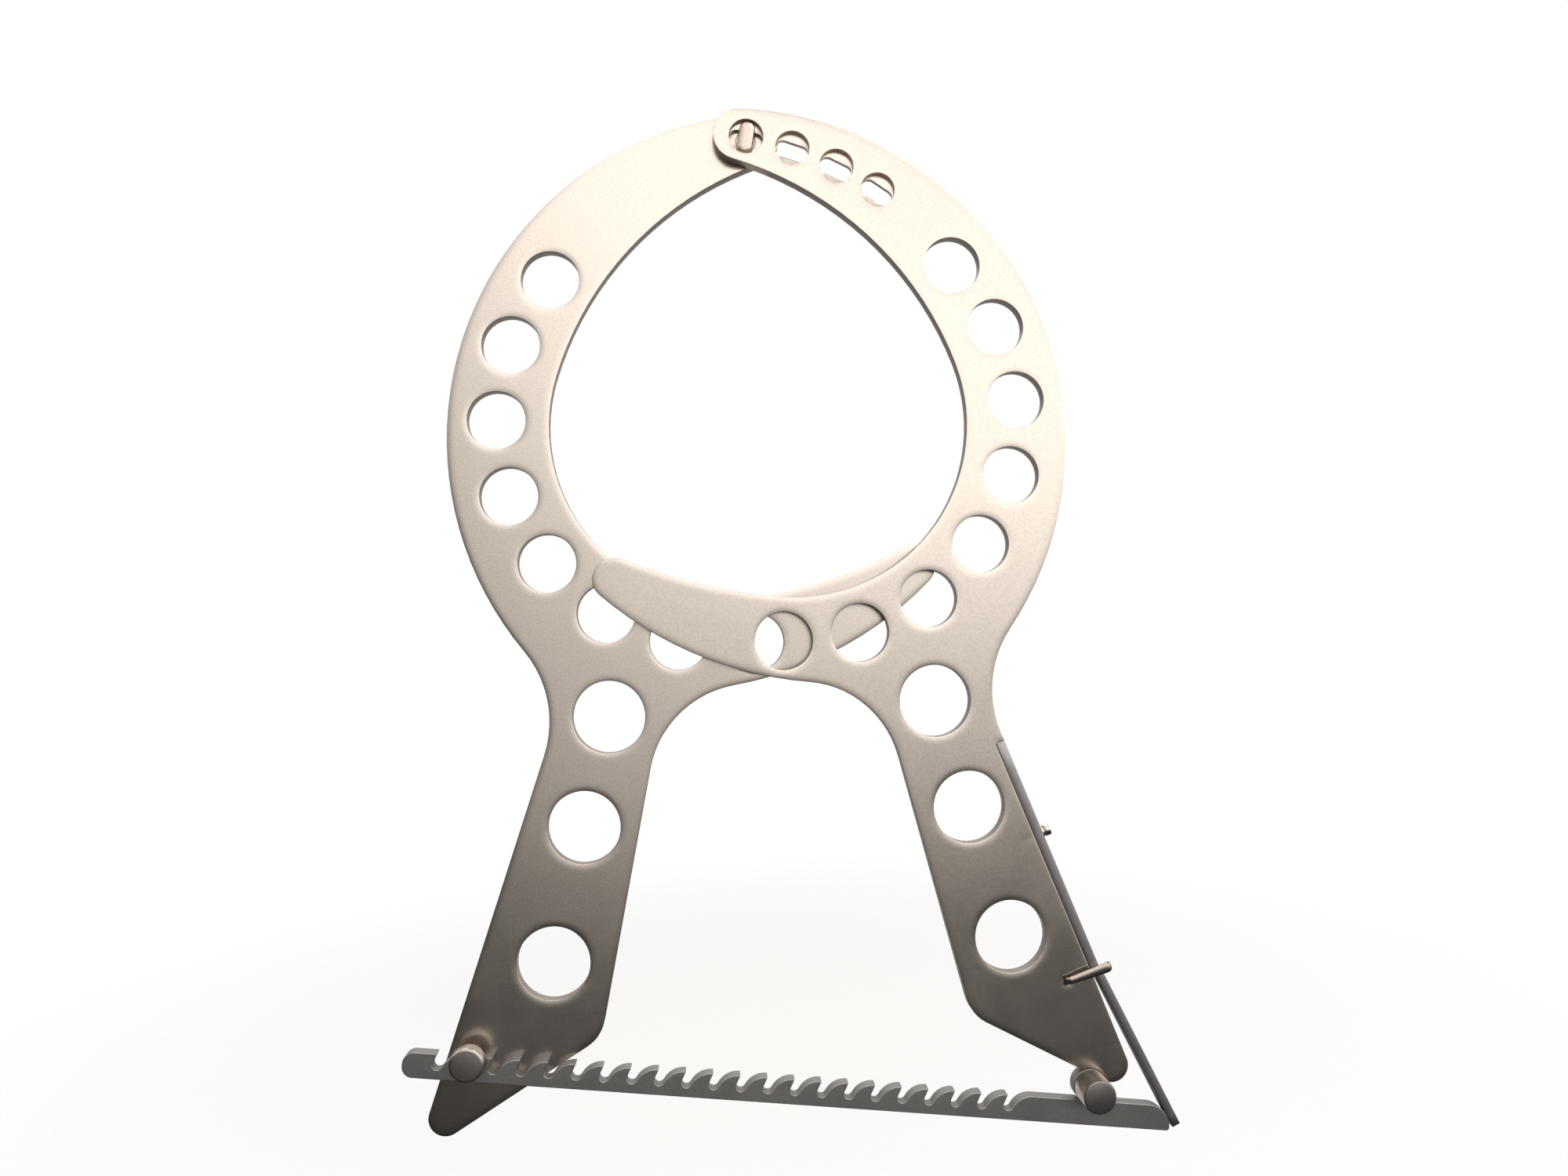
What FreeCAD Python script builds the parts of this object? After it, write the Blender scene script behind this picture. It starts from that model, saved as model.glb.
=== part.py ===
import FreeCAD, Part
import math
import os

import Sketcher
from FreeCAD import Placement, Rotation, Vector

# A hinged retractor: two flat twin arms, each a curved half ring, a tail and a leg. The arms
# cross at a stud in the top of the ring, and a toothed bar between the legs holds them open.
# X is to the right, Z is up and the front looks along -Y. The origin is the grip on the rear
# leg. Each plate is drawn from the hinge, with its leg to the right.

# Sizes in millimetres and degrees; a pair of _x and _z values is a place seen from the hinge
SIZES = {
    # Hinge from the grip, and the plates that turn on it
    "hinge_x": 63.1,
    "hinge_z": 226.3,
    "plate_thickness": 4.0,
    "running_gap": 0.05,
    "cut_past": 1.0,
    # Rounded end over the hinge, and the outer edge of the ring that leaves it
    "cap_x": -2.3,
    "cap_z": 0.7,
    "cap_radius": 7.8,
    "outer_x": -7.39,
    "outer_radius": 101.16,
    # Inner edge of the ring: a crown from the cap, a tight bow, and a flat arc over the tail
    "crown_radius": 102.38,
    "bow_x": 10.41,
    "bow_z": -88.27,
    "bow_radius": 53.0,
    "tail_inner_radius": 157.9,
    # Tail: its rounded end and its lower edge
    "tail_x": -45.6,
    "tail_z": -133.2,
    "tail_radius": 6.4,
    "tail_outer_x": 25.39,
    "tail_outer_radius": 110.3,
    # Leg: its outer edge passes the shoulder, and its other two edges meet in the heel
    "outer_neck_radius": 33.0,
    "inner_neck_radius": 31.0,
    "shoulder_x": 69.57,
    "shoulder_z": -187.28,
    "leg_outer_angle": 110.0,
    "leg_inner_angle": 102.75,
    "heel_x": 55.1,
    "heel_z": -268.5,
    "heel_radius": 11.0,
    "sole_angle": 150.5,
    "toe_radius": 5.1,
    # Row of round holes in the ring
    "ring_hole_x": 11.6,
    "ring_hole_z": -87.1,
    "ring_hole_orbit": 67.4,
    "ring_hole_diameter": 17.5,
    "ring_hole_start": 42.55,
    "ring_hole_step": 19.84,
    "ring_hole_count": 8,
    # Three holes down the leg
    "leg_hole_x": 49.08,
    "leg_hole_z": -174.32,
    "leg_hole_angle": 75.0,
    "leg_hole_diameter": 21.7,
    "leg_hole_near_step": 33.5,
    "leg_hole_far_step": 40.7,
    # Recesses that the hinge stud can be moved to, each with a keyhole slot in its floor
    "recess_diameter": 10.6,
    "recess_depth": 2.5,
    "recess_row_radius": 103.9,
    "recess_row_angle": 78.25,
    "recess_step": 8.0,
    "recess_count": 4,
    "slot_width": 5.0,
    # Hinge stud: a T head on a round neck
    "neck_clearance": 0.07,
    "head_clearance": 0.15,
    "stud_head_length": 10.0,
    "stud_head_thickness": 2.2,
    "stud_head_bevel": 0.8,
    "stud_shank_diameter": 6.0,
    # Rivets: the shank and flush head of both studs in the rear plate
    "rivet_clearance": 0.02,
    "rivet_flare": 1.0,
    # Toothed bar, drawn from its own pivot with its length along X
    "bar_pivot_x": 90.0,
    "bar_pivot_z": -292.0,
    "bar_tilt": 8.245,
    "bar_drop": 11.5,
    "bar_height": 7.2,
    "bar_right": 25.3,
    "bar_left": 203.0,
    "bar_end_radius": 6.5,
    "bar_foot_radius": 1.0,
    "bar_tail_radius": 3.2,
    "tooth_first": 24.9,
    "tooth_pitch": 8.03,
    "bar_plain_end": 8.0,
    "tooth_land": 0.3,
    "gullet_radius": 1.5,
    "gullet_lead": 0.5,
    "gullet_floor": 2.6,
    # Half-lap joint between the bar and the foot of the front leg
    "lap_radius": 5.0,
    "lap_clearance": 0.3,
    "lap_gap": 0.1,
    # Thumb screw through the lap joint
    "screw_diameter": 3.0,
    "bore_clearance": 0.05,
    "thumb_diameter": 9.7,
    "thumb_height": 8.7,
    "thumb_lift": 0.1,
    "thumb_bevel": 0.6,
    "collar_diameter": 8.6,
    "collar_height": 0.4,
    "knurl_count": 30,
    "knurl_width": 0.6,
    "knurl_depth": 0.25,
    # Catch stud that the teeth hook over
    "catch_span": 185.5,
    "catch_lead": 1.4,
    "catch_rise": 5.95,
    "catch_neck_diameter": 3.3,
    "catch_lift": 0.15,
    "catch_head_diameter": 10.0,
    "catch_head_thickness": 4.0,
    "catch_bevel": 0.5,
    "catch_shank_diameter": 5.0,
    # Leaf spring down the outside of the front leg
    "leaf_thickness": 2.0,
    "leaf_straight": 75.3,
    "leaf_free": 52.8,
    "leaf_contact_gap": 0.2,
    "relief_clearance": 0.05,
    "relief_flare": 0.6,
    "rebate_reach": 10.0,
    # Screw and strap that hold the spring
    "spring_screw_down": 30.35,
    "spring_screw_diameter": 1.8,
    "spring_screw_depth": 7.0,
    "thread_depth": 0.25,
    "drill_point": 0.4,
    "spring_screw_head_diameter": 3.3,
    "spring_screw_head_thickness": 1.5,
    "spring_screw_collar": 2.4,
    "spring_screw_collar_height": 0.6,
    "driver_slot_width": 0.6,
    "driver_slot_depth": 0.7,
    "strap_x": 83.95,
    "strap_z": -260.5,
    "strap_angle": 15.6,
    "strap_width": 2.3,
    "strap_thickness": 1.1,
    "strap_hook": 2.0,
    "strap_seat": 0.05,
    "strap_slack": 0.15,
    "strap_prong": 1.8,
    "strap_prong_depth": 2.2,
    "strap_round": 0.5,
}

doc = FreeCAD.newDocument("retractor")
sheet = doc.addObject("Spreadsheet::Sheet", "Sizes")
for row, (alias, number) in enumerate(SIZES.items(), start=1):
    sheet.set(f"A{row}", alias.replace("_", " "))
    sheet.set(f"B{row}", str(number))
    sheet.setAlias(f"B{row}", alias)
doc.recompute()


def mm(alias):
    """A length on the sheet: its present value and the expression that follows it."""
    return SIZES[alias], f"Sizes.{alias}"


def deg(alias):
    """An angle on the sheet."""
    return math.radians(SIZES[alias]), f"Sizes.{alias} * 1deg"


def follows(expression):
    """A value that only the sheet can work out."""
    return 1.0, expression


def new_body(label, x="0", y="0", z="0", axis=Vector(0, 1, 0), angle="0"):
    """An empty body whose own origin stands at a place worked out from the sheet."""
    body = doc.addObject("PartDesign::Body", label)
    body.Label = label
    body.Placement = Placement(Vector(), Rotation(axis, 1))
    body.setExpression("Placement.Base.x", x)
    body.setExpression("Placement.Base.y", y)
    body.setExpression("Placement.Base.z", z)
    body.setExpression("Placement.Rotation.Angle", f"({angle}) * 1deg")
    return body


class Drawing:
    """A sketch on one of a body's own planes, with every size held by the sheet."""

    def __init__(self, body, name, role="XZ_Plane", x="0", y="0", lift="0", turn="0"):
        plane = [item for item in body.Origin.OriginFeatures if item.Role == role][0]
        self.sketch = body.newObject("Sketcher::SketchObject", f"{body.Name}_{name}")
        self.sketch.AttachmentSupport = [(plane, "")]
        self.sketch.MapMode = "FlatFace"
        self.sketch.AttachmentOffset = Placement(Vector(), Rotation(Vector(0, 0, 1), 1))
        self.sketch.setExpression("AttachmentOffset.Base.x", x)
        self.sketch.setExpression("AttachmentOffset.Base.y", y)
        self.sketch.setExpression("AttachmentOffset.Base.z", lift)
        self.sketch.setExpression("AttachmentOffset.Rotation.Angle", f"({turn}) * 1deg")
        self.constraints = []
        self.expressions = []

    def hold(self, kind, *where, size=None):
        """Add one constraint, with its size if it has one."""
        if size is None:
            self.constraints.append(Sketcher.Constraint(kind, *where))
            self.expressions.append(None)
        else:
            self.constraints.append(Sketcher.Constraint(kind, *where, size[0]))
            self.expressions.append(size[1])

    def place(self, geometry, point, x, y):
        """Fix a point of a curve at two distances from the sketch's origin."""
        self.hold("DistanceX", -1, 1, geometry, point, size=x)
        self.hold("DistanceY", -1, 1, geometry, point, size=y)

    def line(self, start, end):
        return self.sketch.addGeometry(Part.LineSegment(Vector(*start, 0), Vector(*end, 0)))

    def point(self, x, y):
        """A fixed construction point."""
        index = self.sketch.addGeometry(Part.Point(Vector(x[0], y[0], 0)), True)
        self.place(index, 1, x, y)
        return index

    def circle(self, x, y, radius, construction=False):
        circle = Part.Circle(Vector(x[0], y[0], 0), Vector(0, 0, 1), radius[0])
        index = self.sketch.addGeometry(circle, construction)
        self.place(index, 3, x, y)
        self.hold("Radius", index, size=radius)
        return index

    def arc(self, start, end, radius, clockwise):
        """An arc of less than half a turn between two rough points."""
        start, end = Vector(*start, 0), Vector(*end, 0)
        chord = end - start
        radius = max(radius, chord.Length * 0.5001)
        rise = math.sqrt(radius ** 2 - chord.Length ** 2 / 4)
        side = Vector(chord.y, -chord.x, 0) if clockwise else Vector(-chord.y, chord.x, 0)
        centre = start + chord * 0.5 + side.normalize() * rise
        first, last = (end, start) if clockwise else (start, end)
        angles = [math.atan2(item.y - centre.y, item.x - centre.x) for item in (first, last)]
        if angles[1] < angles[0]:
            angles[1] += 2 * math.pi
        circle = Part.Circle(centre, Vector(0, 0, 1), radius)
        return self.sketch.addGeometry(Part.ArcOfCircle(circle, *angles))

    def polygon(self, corners):
        """A closed outline of straight edges, each corner held by the sheet."""
        count = len(corners)
        turn = 2 * math.pi / count
        rough = [(math.cos(turn * step), math.sin(turn * step)) for step in range(count)]
        edges = [self.line(rough[step], rough[(step + 1) % count]) for step in range(count)]
        for step, (x, y) in enumerate(corners):
            self.hold("Coincident", edges[step - 1], 2, edges[step], 1)
            self.place(edges[step], 1, follows(x), follows(y))

    def stadium(self, x, y, long_half, radius, upright):
        """A slot with round ends; x, y, half the distance between centres and the radius."""
        reach, width = 3.0, 1.0
        if upright:
            centres = [(x, f"{y} + {long_half}"), (x, f"{y} - {long_half}")]
            corners = [(width, reach), (-width, reach), (-width, -reach), (width, -reach)]
        else:
            centres = [(f"{x} - {long_half}", y), (f"{x} + {long_half}", y)]
            corners = [(-reach, width), (-reach, -width), (reach, -width), (reach, width)]
        first = self.arc(corners[0], corners[1], width, False)
        side = self.line(corners[1], corners[2])
        second = self.arc(corners[2], corners[3], width, False)
        back = self.line(corners[3], corners[0])
        for one, another in ((first, side), (side, second), (second, back), (back, first)):
            self.hold("Tangent", one, 2, another, 1)
        for index, centre in ((first, centres[0]), (second, centres[1])):
            self.place(index, 3, follows(centre[0]), follows(centre[1]))
            self.hold("Radius", index, size=follows(radius))

    def done(self):
        """Solve the sketch and tie its sizes to the sheet."""
        indices = self.sketch.addConstraint(self.constraints)
        for index, expression in zip(indices, self.expressions):
            if expression is not None:
                self.sketch.setExpression(f"Constraints[{index}]", expression)
        doc.recompute()
        return self.sketch


def feature(kind, sketch, name, **settings):
    """One solid step from a finished sketch; a setting given as text is an expression."""
    body = sketch.getParentGeoFeatureGroup()
    item = body.newObject(f"PartDesign::{kind}", f"{body.Name}_{name}")
    item.Profile = sketch
    for key, value in settings.items():
        if isinstance(value, str):
            item.setExpression(key, value)
        else:
            setattr(item, key, value)
    sketch.Visibility = False
    doc.recompute()
    return item


def pad(sketch, name, length, **settings):
    return feature("Pad", sketch, name, Length=length, **settings)


def pocket(sketch, name, length, **settings):
    """A cut against the sketch's normal, or along it if reversed, that has to remove metal."""
    body = sketch.getParentGeoFeatureGroup()
    before = body.Tip.Shape.Volume
    item = feature("Pocket", sketch, name, Length=length, **settings)
    if item.Shape.Volume > before - 1e-6:
        raise RuntimeError(f"{item.Name} cuts nothing")
    return item


def revolve(sketch, name, kind="Revolution"):
    """Turn a profile about its upright axis."""
    return feature(kind, sketch, name, ReferenceAxis=(sketch, ["V_Axis"]), Angle=360.0)


def pattern(kind, originals, name, axis, count, **settings):
    """Repeat cuts about or along a sketch axis."""
    body = originals[0].getParentGeoFeatureGroup()
    item = body.newObject(f"PartDesign::{kind}", f"{body.Name}_{name}")
    item.Originals = originals
    if kind == "PolarPattern":
        item.Axis = axis
    else:
        item.Direction = axis
    item.setExpression("Occurrences", count)
    for key, value in settings.items():
        if isinstance(value, str):
            item.setExpression(key, value)
        else:
            setattr(item, key, value)
    body.Tip = item
    doc.recompute()
    return item


def round_edges(body, name, radius, chosen):
    """Fillet the edges that a test picks out."""
    base = body.Tip
    names = [f"Edge{number}" for number, edge in enumerate(base.Shape.Edges, start=1) if chosen(edge)]
    if not names:
        raise RuntimeError(f"{name} finds no edge")
    item = body.newObject("PartDesign::Fillet", f"{body.Name}_{name}")
    item.Base = (base, names)
    item.setExpression("Radius", radius)
    doc.recompute()
    return item


def across(edge):
    """Whether a straight edge runs through the thickness of a plate."""
    box = edge.BoundBox
    return box.XLength < 1e-4 and box.ZLength < 1e-4 and box.YLength > 1e-3


def at(edge, x, z):
    """Whether an edge through the thickness stands at a place in the plate."""
    centre = edge.BoundBox.Center
    return across(edge) and abs(centre.x - x) < 1e-3 and abs(centre.z - z) < 1e-3


# Depth of a cut that goes right through a plate
THROUGH = "Sizes.plate_thickness + Sizes.cut_past"


def plate_outline(body):
    """The edge of one arm, clockwise from the top of the cap over the hinge."""
    draw = Drawing(body, "outline")
    # Rough joints between the edges; the constraints below put them in their true places
    cap_top, cap_foot = (-1.9, 8.5), (-4.7, -6.7)
    ring_end, neck_end = (73.4, -153.4), (68.8, -185.0)
    toe, heel_right, heel_left = (110.5, -299.9), (59.2, -271.2), (53.9, -264.0)
    fork_right, fork_left = (37.7, -190.7), (11.4, -166.7)
    tail_low, tail_high = (-50.0, -137.9), (-42.9, -127.4)
    bow_low, bow_high = (3.3, -140.8), (60.4, -70.7)
    outer = draw.arc(cap_top, ring_end, SIZES["outer_radius"], True)
    outer_neck = draw.arc(ring_end, neck_end, SIZES["outer_neck_radius"], False)
    outer_edge = draw.line(toe, neck_end)
    sole = draw.line(toe, heel_right)
    heel = draw.arc(heel_right, heel_left, SIZES["heel_radius"], True)
    inner_edge = draw.line(heel_left, fork_right)
    inner_neck = draw.arc(fork_right, fork_left, SIZES["inner_neck_radius"], False)
    tail_outer = draw.arc(fork_left, tail_low, SIZES["tail_outer_radius"], True)
    tail = draw.arc(tail_low, tail_high, SIZES["tail_radius"], True)
    tail_inner = draw.arc(tail_high, bow_low, SIZES["tail_inner_radius"], False)
    bow = draw.arc(bow_low, bow_high, SIZES["bow_radius"], False)
    crown = draw.arc(bow_high, cap_foot, SIZES["crown_radius"], False)
    cap = draw.arc(cap_foot, cap_top, SIZES["cap_radius"], True)
    # Each edge runs smoothly into the next, except at the sharp toe
    smooth = (
        (cap, 1, outer, 2), (outer, 1, outer_neck, 1), (outer_neck, 2, outer_edge, 2),
        (sole, 2, heel, 2), (heel, 1, inner_edge, 1), (inner_edge, 2, inner_neck, 1),
        (inner_neck, 2, tail_outer, 2), (tail_outer, 1, tail, 2), (tail, 1, tail_inner, 1),
        (tail_inner, 2, bow, 1), (bow, 2, crown, 1), (crown, 2, cap, 2),
    )
    for joint in smooth:
        draw.hold("Tangent", *joint)
    draw.hold("Coincident", outer_edge, 1, sole, 1)
    draw.place(cap, 3, mm("cap_x"), mm("cap_z"))
    draw.place(tail, 3, mm("tail_x"), mm("tail_z"))
    draw.place(bow, 3, mm("bow_x"), mm("bow_z"))
    draw.hold("DistanceX", -1, 1, outer, 3, size=mm("outer_x"))
    draw.hold("DistanceX", -1, 1, tail_outer, 3, size=mm("tail_outer_x"))
    radii = {
        cap: "cap_radius", outer: "outer_radius", outer_neck: "outer_neck_radius",
        heel: "heel_radius", inner_neck: "inner_neck_radius", tail: "tail_radius",
        tail_outer: "tail_outer_radius", tail_inner: "tail_inner_radius",
        bow: "bow_radius", crown: "crown_radius",
    }
    for index, alias in radii.items():
        draw.hold("Radius", index, size=mm(alias))
    shoulder = draw.point(mm("shoulder_x"), mm("shoulder_z"))
    heel_corner = draw.point(mm("heel_x"), mm("heel_z"))
    draw.hold("PointOnObject", shoulder, 1, outer_edge)
    draw.hold("PointOnObject", heel_corner, 1, sole)
    draw.hold("PointOnObject", heel_corner, 1, inner_edge)
    draw.hold("Angle", outer_edge, size=deg("leg_outer_angle"))
    draw.hold("Angle", inner_edge, size=deg("leg_inner_angle"))
    draw.hold("Angle", sole, size=deg("sole_angle"))
    return draw.done()


def plate_blank(body):
    """One arm with its rows of holes."""
    pad(plate_outline(body), "plate", "Sizes.plate_thickness")
    draw = Drawing(
        body, "ring_hole", x="Sizes.ring_hole_x", y="Sizes.ring_hole_z",
        lift="Sizes.plate_thickness", turn="Sizes.ring_hole_start",
    )
    draw.circle(mm("ring_hole_orbit"), (0.0, "0"), follows("Sizes.ring_hole_diameter / 2"))
    sketch = draw.done()
    hole = pocket(sketch, "ring_cut", THROUGH)
    pattern(
        "PolarPattern", [hole], "ring_row", (sketch, ["N_Axis"]), "Sizes.ring_hole_count",
        Angle="Sizes.ring_hole_step * (Sizes.ring_hole_count - 1) * 1deg", Reversed=True,
    )
    draw = Drawing(
        body, "leg_hole", x="Sizes.leg_hole_x", y="Sizes.leg_hole_z",
        lift="Sizes.plate_thickness", turn="-Sizes.leg_hole_angle",
    )
    radius = follows("Sizes.leg_hole_diameter / 2")
    far = "Sizes.leg_hole_near_step + Sizes.leg_hole_far_step"
    for distance in ("0", "Sizes.leg_hole_near_step", far):
        draw.circle(follows(distance), (0.0, "0"), radius)
    pocket(draw.done(), "leg_cut", THROUGH)


def round_toe(body):
    """Round the lowest corner of the plate."""
    corners = [edge for edge in body.Tip.Shape.Edges if across(edge)]
    lowest = min(corners, key=lambda edge: edge.BoundBox.ZMin).BoundBox.Center
    round_edges(body, "toe", "Sizes.toe_radius", lambda edge: at(edge, lowest.x, lowest.z))


SCREW_CORE = "(Sizes.spring_screw_diameter / 2 - Sizes.thread_depth)"
LAP_THICKNESS = "(Sizes.plate_thickness - Sizes.lap_gap) / 2"
BORE_RADIUS = "Sizes.screw_diameter / 2 + Sizes.bore_clearance"
LAP_RECESS = "Sizes.lap_radius + Sizes.lap_clearance"


def front_plate():
    """The front arm: recesses along its top, a rebate for the spring and a half-lap ear."""
    body = new_body("front_plate", x="Sizes.hinge_x", z="Sizes.hinge_z")
    plate_blank(body)
    # The spring's rebate starts as a step at the shoulder and deepens towards the toe
    draw = Drawing(
        body, "rebate", x="Sizes.shoulder_x", y="Sizes.shoulder_z",
        lift="Sizes.plate_thickness", turn="Sizes.leg_outer_angle - 90",
    )
    step = "-(Sizes.leaf_thickness + Sizes.relief_clearance)"
    run = "(Sizes.leaf_straight + Sizes.leaf_free)"
    deep = f"{step} - {run} * tan(Sizes.relief_flare * 1deg)"
    side = "Sizes.rebate_reach"
    draw.polygon([(side, "0"), (step, "0"), (deep, f"-{run}"), (side, f"-{run}")])
    pocket(draw.done(), "rebate_cut", THROUGH)
    round_toe(body)
    # Ear of half the thickness, with room beside it for the bar's boss
    place = {"x": "Sizes.bar_pivot_x", "y": "Sizes.bar_pivot_z"}
    centre = (0.0, "0")
    draw = Drawing(body, "ear", **place)
    draw.circle(centre, centre, mm("lap_radius"))
    pad(draw.done(), "ear_pad", LAP_THICKNESS)
    draw = Drawing(body, "ear_room", lift="Sizes.plate_thickness", **place)
    draw.circle(centre, centre, follows(LAP_RECESS))
    pocket(draw.done(), "ear_cut", f"Sizes.plate_thickness - {LAP_THICKNESS}")
    draw = Drawing(body, "ear_bore", lift="Sizes.plate_thickness", **place)
    draw.circle(centre, centre, follows(BORE_RADIUS))
    pocket(draw.done(), "ear_bore_cut", THROUGH)
    # Recesses on an arc, the first at the hinge, each with a slot that passes the stud's head
    reach = "Sizes.recess_row_radius"
    angle = "Sizes.recess_row_angle"
    row = {
        "x": f"-{reach} * cos({angle} * 1deg)", "y": f"-{reach} * sin({angle} * 1deg)",
        "lift": "Sizes.plate_thickness", "turn": f"{angle} - 90",
    }
    draw = Drawing(body, "recess", **row)
    draw.circle(centre, mm("recess_row_radius"), follows("Sizes.recess_diameter / 2"))
    recess = draw.done()
    round_cut = pocket(recess, "recess_cut", "Sizes.recess_depth")
    draw = Drawing(body, "slot", **row)
    half = "(Sizes.recess_diameter - Sizes.slot_width) / 2"
    draw.stadium("0", reach, half, "Sizes.slot_width / 2", upright=False)
    slot_cut = pocket(draw.done(), "slot_cut", THROUGH)
    pattern(
        "PolarPattern", [round_cut, slot_cut], "recess_row", (recess, ["N_Axis"]),
        "Sizes.recess_count", Reversed=True,
        Angle="Sizes.recess_step * (Sizes.recess_count - 1) * 1deg",
    )
    spring_screw_hole(body, f"{SCREW_CORE} + Sizes.bore_clearance")
    # Slot that the strap's prong goes into
    draw = Drawing(
        body, "prong_slot", x="Sizes.strap_x", y="Sizes.strap_z",
        lift="Sizes.plate_thickness", turn="Sizes.strap_angle",
    )
    slack = "Sizes.strap_seat"
    half = f"(Sizes.strap_width / 2 + {slack})"
    right = f"Sizes.strap_prong + {slack}"
    draw.polygon([
        (f"-{slack}", f"-{half}"), (right, f"-{half}"), (right, half), (f"-{slack}", half),
    ])
    pocket(draw.done(), "prong_cut", f"Sizes.strap_prong_depth + {slack}")
    return body


def rivet_profile(body, name, radius, grow):
    """Half section of a rivet in the rear plate, flared to a flush head at the back."""
    draw = Drawing(body, name, role="XY_Plane")
    front = "Sizes.running_gap"
    back = "Sizes.running_gap + Sizes.plate_thickness"
    neck = f"{radius} + {grow}"
    draw.polygon([
        ("0", front), (neck, front), (neck, f"{back} - Sizes.rivet_flare"),
        (f"{neck} + Sizes.rivet_flare", back), ("0", back),
    ])
    return draw.done()


# Place of the catch stud: in the gullet nearest to its span, measured along and across the bar
CATCH_TOOTH = "round((Sizes.catch_span - Sizes.tooth_first) / Sizes.tooth_pitch)"
CATCH_ALONG = f"(Sizes.catch_lead - Sizes.tooth_first - {CATCH_TOOTH} * Sizes.tooth_pitch)"
CATCH_ACROSS = "(Sizes.catch_rise - Sizes.bar_drop)"
TILT = "(Sizes.bar_tilt * 1deg)"
CATCH_X = f"(Sizes.bar_pivot_x + {CATCH_ALONG} * cos({TILT}) + {CATCH_ACROSS} * sin({TILT}))"
CATCH_Z = f"(Sizes.bar_pivot_z - {CATCH_ALONG} * sin({TILT}) + {CATCH_ACROSS} * cos({TILT}))"


def rear_plate():
    """The rear arm: the same plate turned round, with a rivet hole for each stud."""
    body = new_body(
        "rear_plate", x="Sizes.hinge_x", y="Sizes.running_gap", z="Sizes.hinge_z",
        axis=Vector(0, 0, 1), angle="180",
    )
    plate_blank(body)
    round_toe(body)
    seats = (
        ("hinge_seat", "0", "0", "Sizes.stud_shank_diameter / 2"),
        ("catch_seat", f"-{CATCH_X}", CATCH_Z, "Sizes.catch_shank_diameter / 2"),
    )
    for name, x, z, radius in seats:
        draw = Drawing(body, name, role="YZ_Plane", lift=x)
        rim = f"{radius} + Sizes.rivet_clearance"
        back = "-Sizes.plate_thickness"
        level = z
        draw.polygon([
            ("0", level), ("0", f"{level} + {rim}"),
            (f"{back} + Sizes.rivet_flare", f"{level} + {rim}"),
            (back, f"{level} + {rim} + Sizes.rivet_flare"), (back, level),
        ])
        axis = draw.line((0.0, 0.0), (-1.0, 0.0))
        draw.sketch.toggleConstruction(axis)
        draw.place(axis, 1, follows("0"), follows(level))
        draw.place(axis, 2, follows(back), follows(level))
        sketch = draw.done()
        before = body.Tip.Shape.Volume
        cut = feature("Groove", sketch, f"{name}_cut", ReferenceAxis=(sketch, ["Axis0"]), Angle=360.0)
        if cut.Shape.Volume > before - 1e-6:
            raise RuntimeError(f"{name} cuts nothing")
    return body


def hinge_stud():
    """A rivet in the rear plate with a neck and a T head that turns in a recess."""
    body = new_body(
        "hinge_stud", x="Sizes.hinge_x", z="Sizes.hinge_z", angle="90 - Sizes.recess_row_angle",
    )
    revolve(rivet_profile(body, "shank", "Sizes.stud_shank_diameter / 2", "0"), "shank_turn")
    floor = "(Sizes.plate_thickness - Sizes.recess_depth + Sizes.head_clearance)"
    draw = Drawing(body, "neck")
    draw.circle((0.0, "0"), (0.0, "0"), follows("Sizes.slot_width / 2 - Sizes.neck_clearance"))
    neck = draw.done()
    pad(neck, "neck_front", floor)
    draw = Drawing(body, "neck_root")
    draw.circle((0.0, "0"), (0.0, "0"), follows("Sizes.slot_width / 2 - Sizes.neck_clearance"))
    pad(draw.done(), "neck_back", "Sizes.running_gap", Reversed=True)
    draw = Drawing(body, "head", lift=floor)
    width = "(Sizes.slot_width / 2 - Sizes.head_clearance)"
    draw.stadium("0", "0", f"(Sizes.stud_head_length / 2 - {width})", width, upright=True)
    pad(draw.done(), "head_pad", "Sizes.stud_head_thickness")
    front = body.Tip.Shape.BoundBox.YMin
    base = body.Tip
    rim = [
        f"Edge{number}" for number, edge in enumerate(base.Shape.Edges, start=1)
        if edge.BoundBox.YMax < front + 1e-3
    ]
    bevel = body.newObject("PartDesign::Chamfer", "hinge_stud_bevel")
    bevel.Base = (base, rim)
    bevel.setExpression("Size", "Sizes.stud_head_bevel")
    doc.recompute()
    return body


def catch_stud():
    """A rivet in the rear leg with a thin neck in the teeth and a disc head over the bar."""
    body = new_body("catch_stud", x=f"Sizes.hinge_x + {CATCH_X}", z=f"Sizes.hinge_z + {CATCH_Z}")
    draw = Drawing(body, "section", role="XY_Plane")
    shank = "Sizes.catch_shank_diameter / 2"
    neck = "Sizes.catch_neck_diameter / 2"
    head = "Sizes.catch_head_diameter / 2"
    root = "Sizes.running_gap"
    back = "Sizes.running_gap + Sizes.plate_thickness"
    seat = "-(Sizes.plate_thickness + Sizes.catch_lift)"
    face = f"{seat} - Sizes.catch_head_thickness"
    bevel = "Sizes.catch_bevel"
    draw.polygon([
        ("0", face), (f"{head} - {bevel}", face), (head, f"{face} + {bevel}"),
        (head, seat), (neck, seat), (neck, root),
        (shank, root), (shank, f"{back} - Sizes.rivet_flare"),
        (f"{shank} + Sizes.rivet_flare", back), ("0", back),
    ])
    revolve(draw.done(), "section_turn")
    return body


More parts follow.
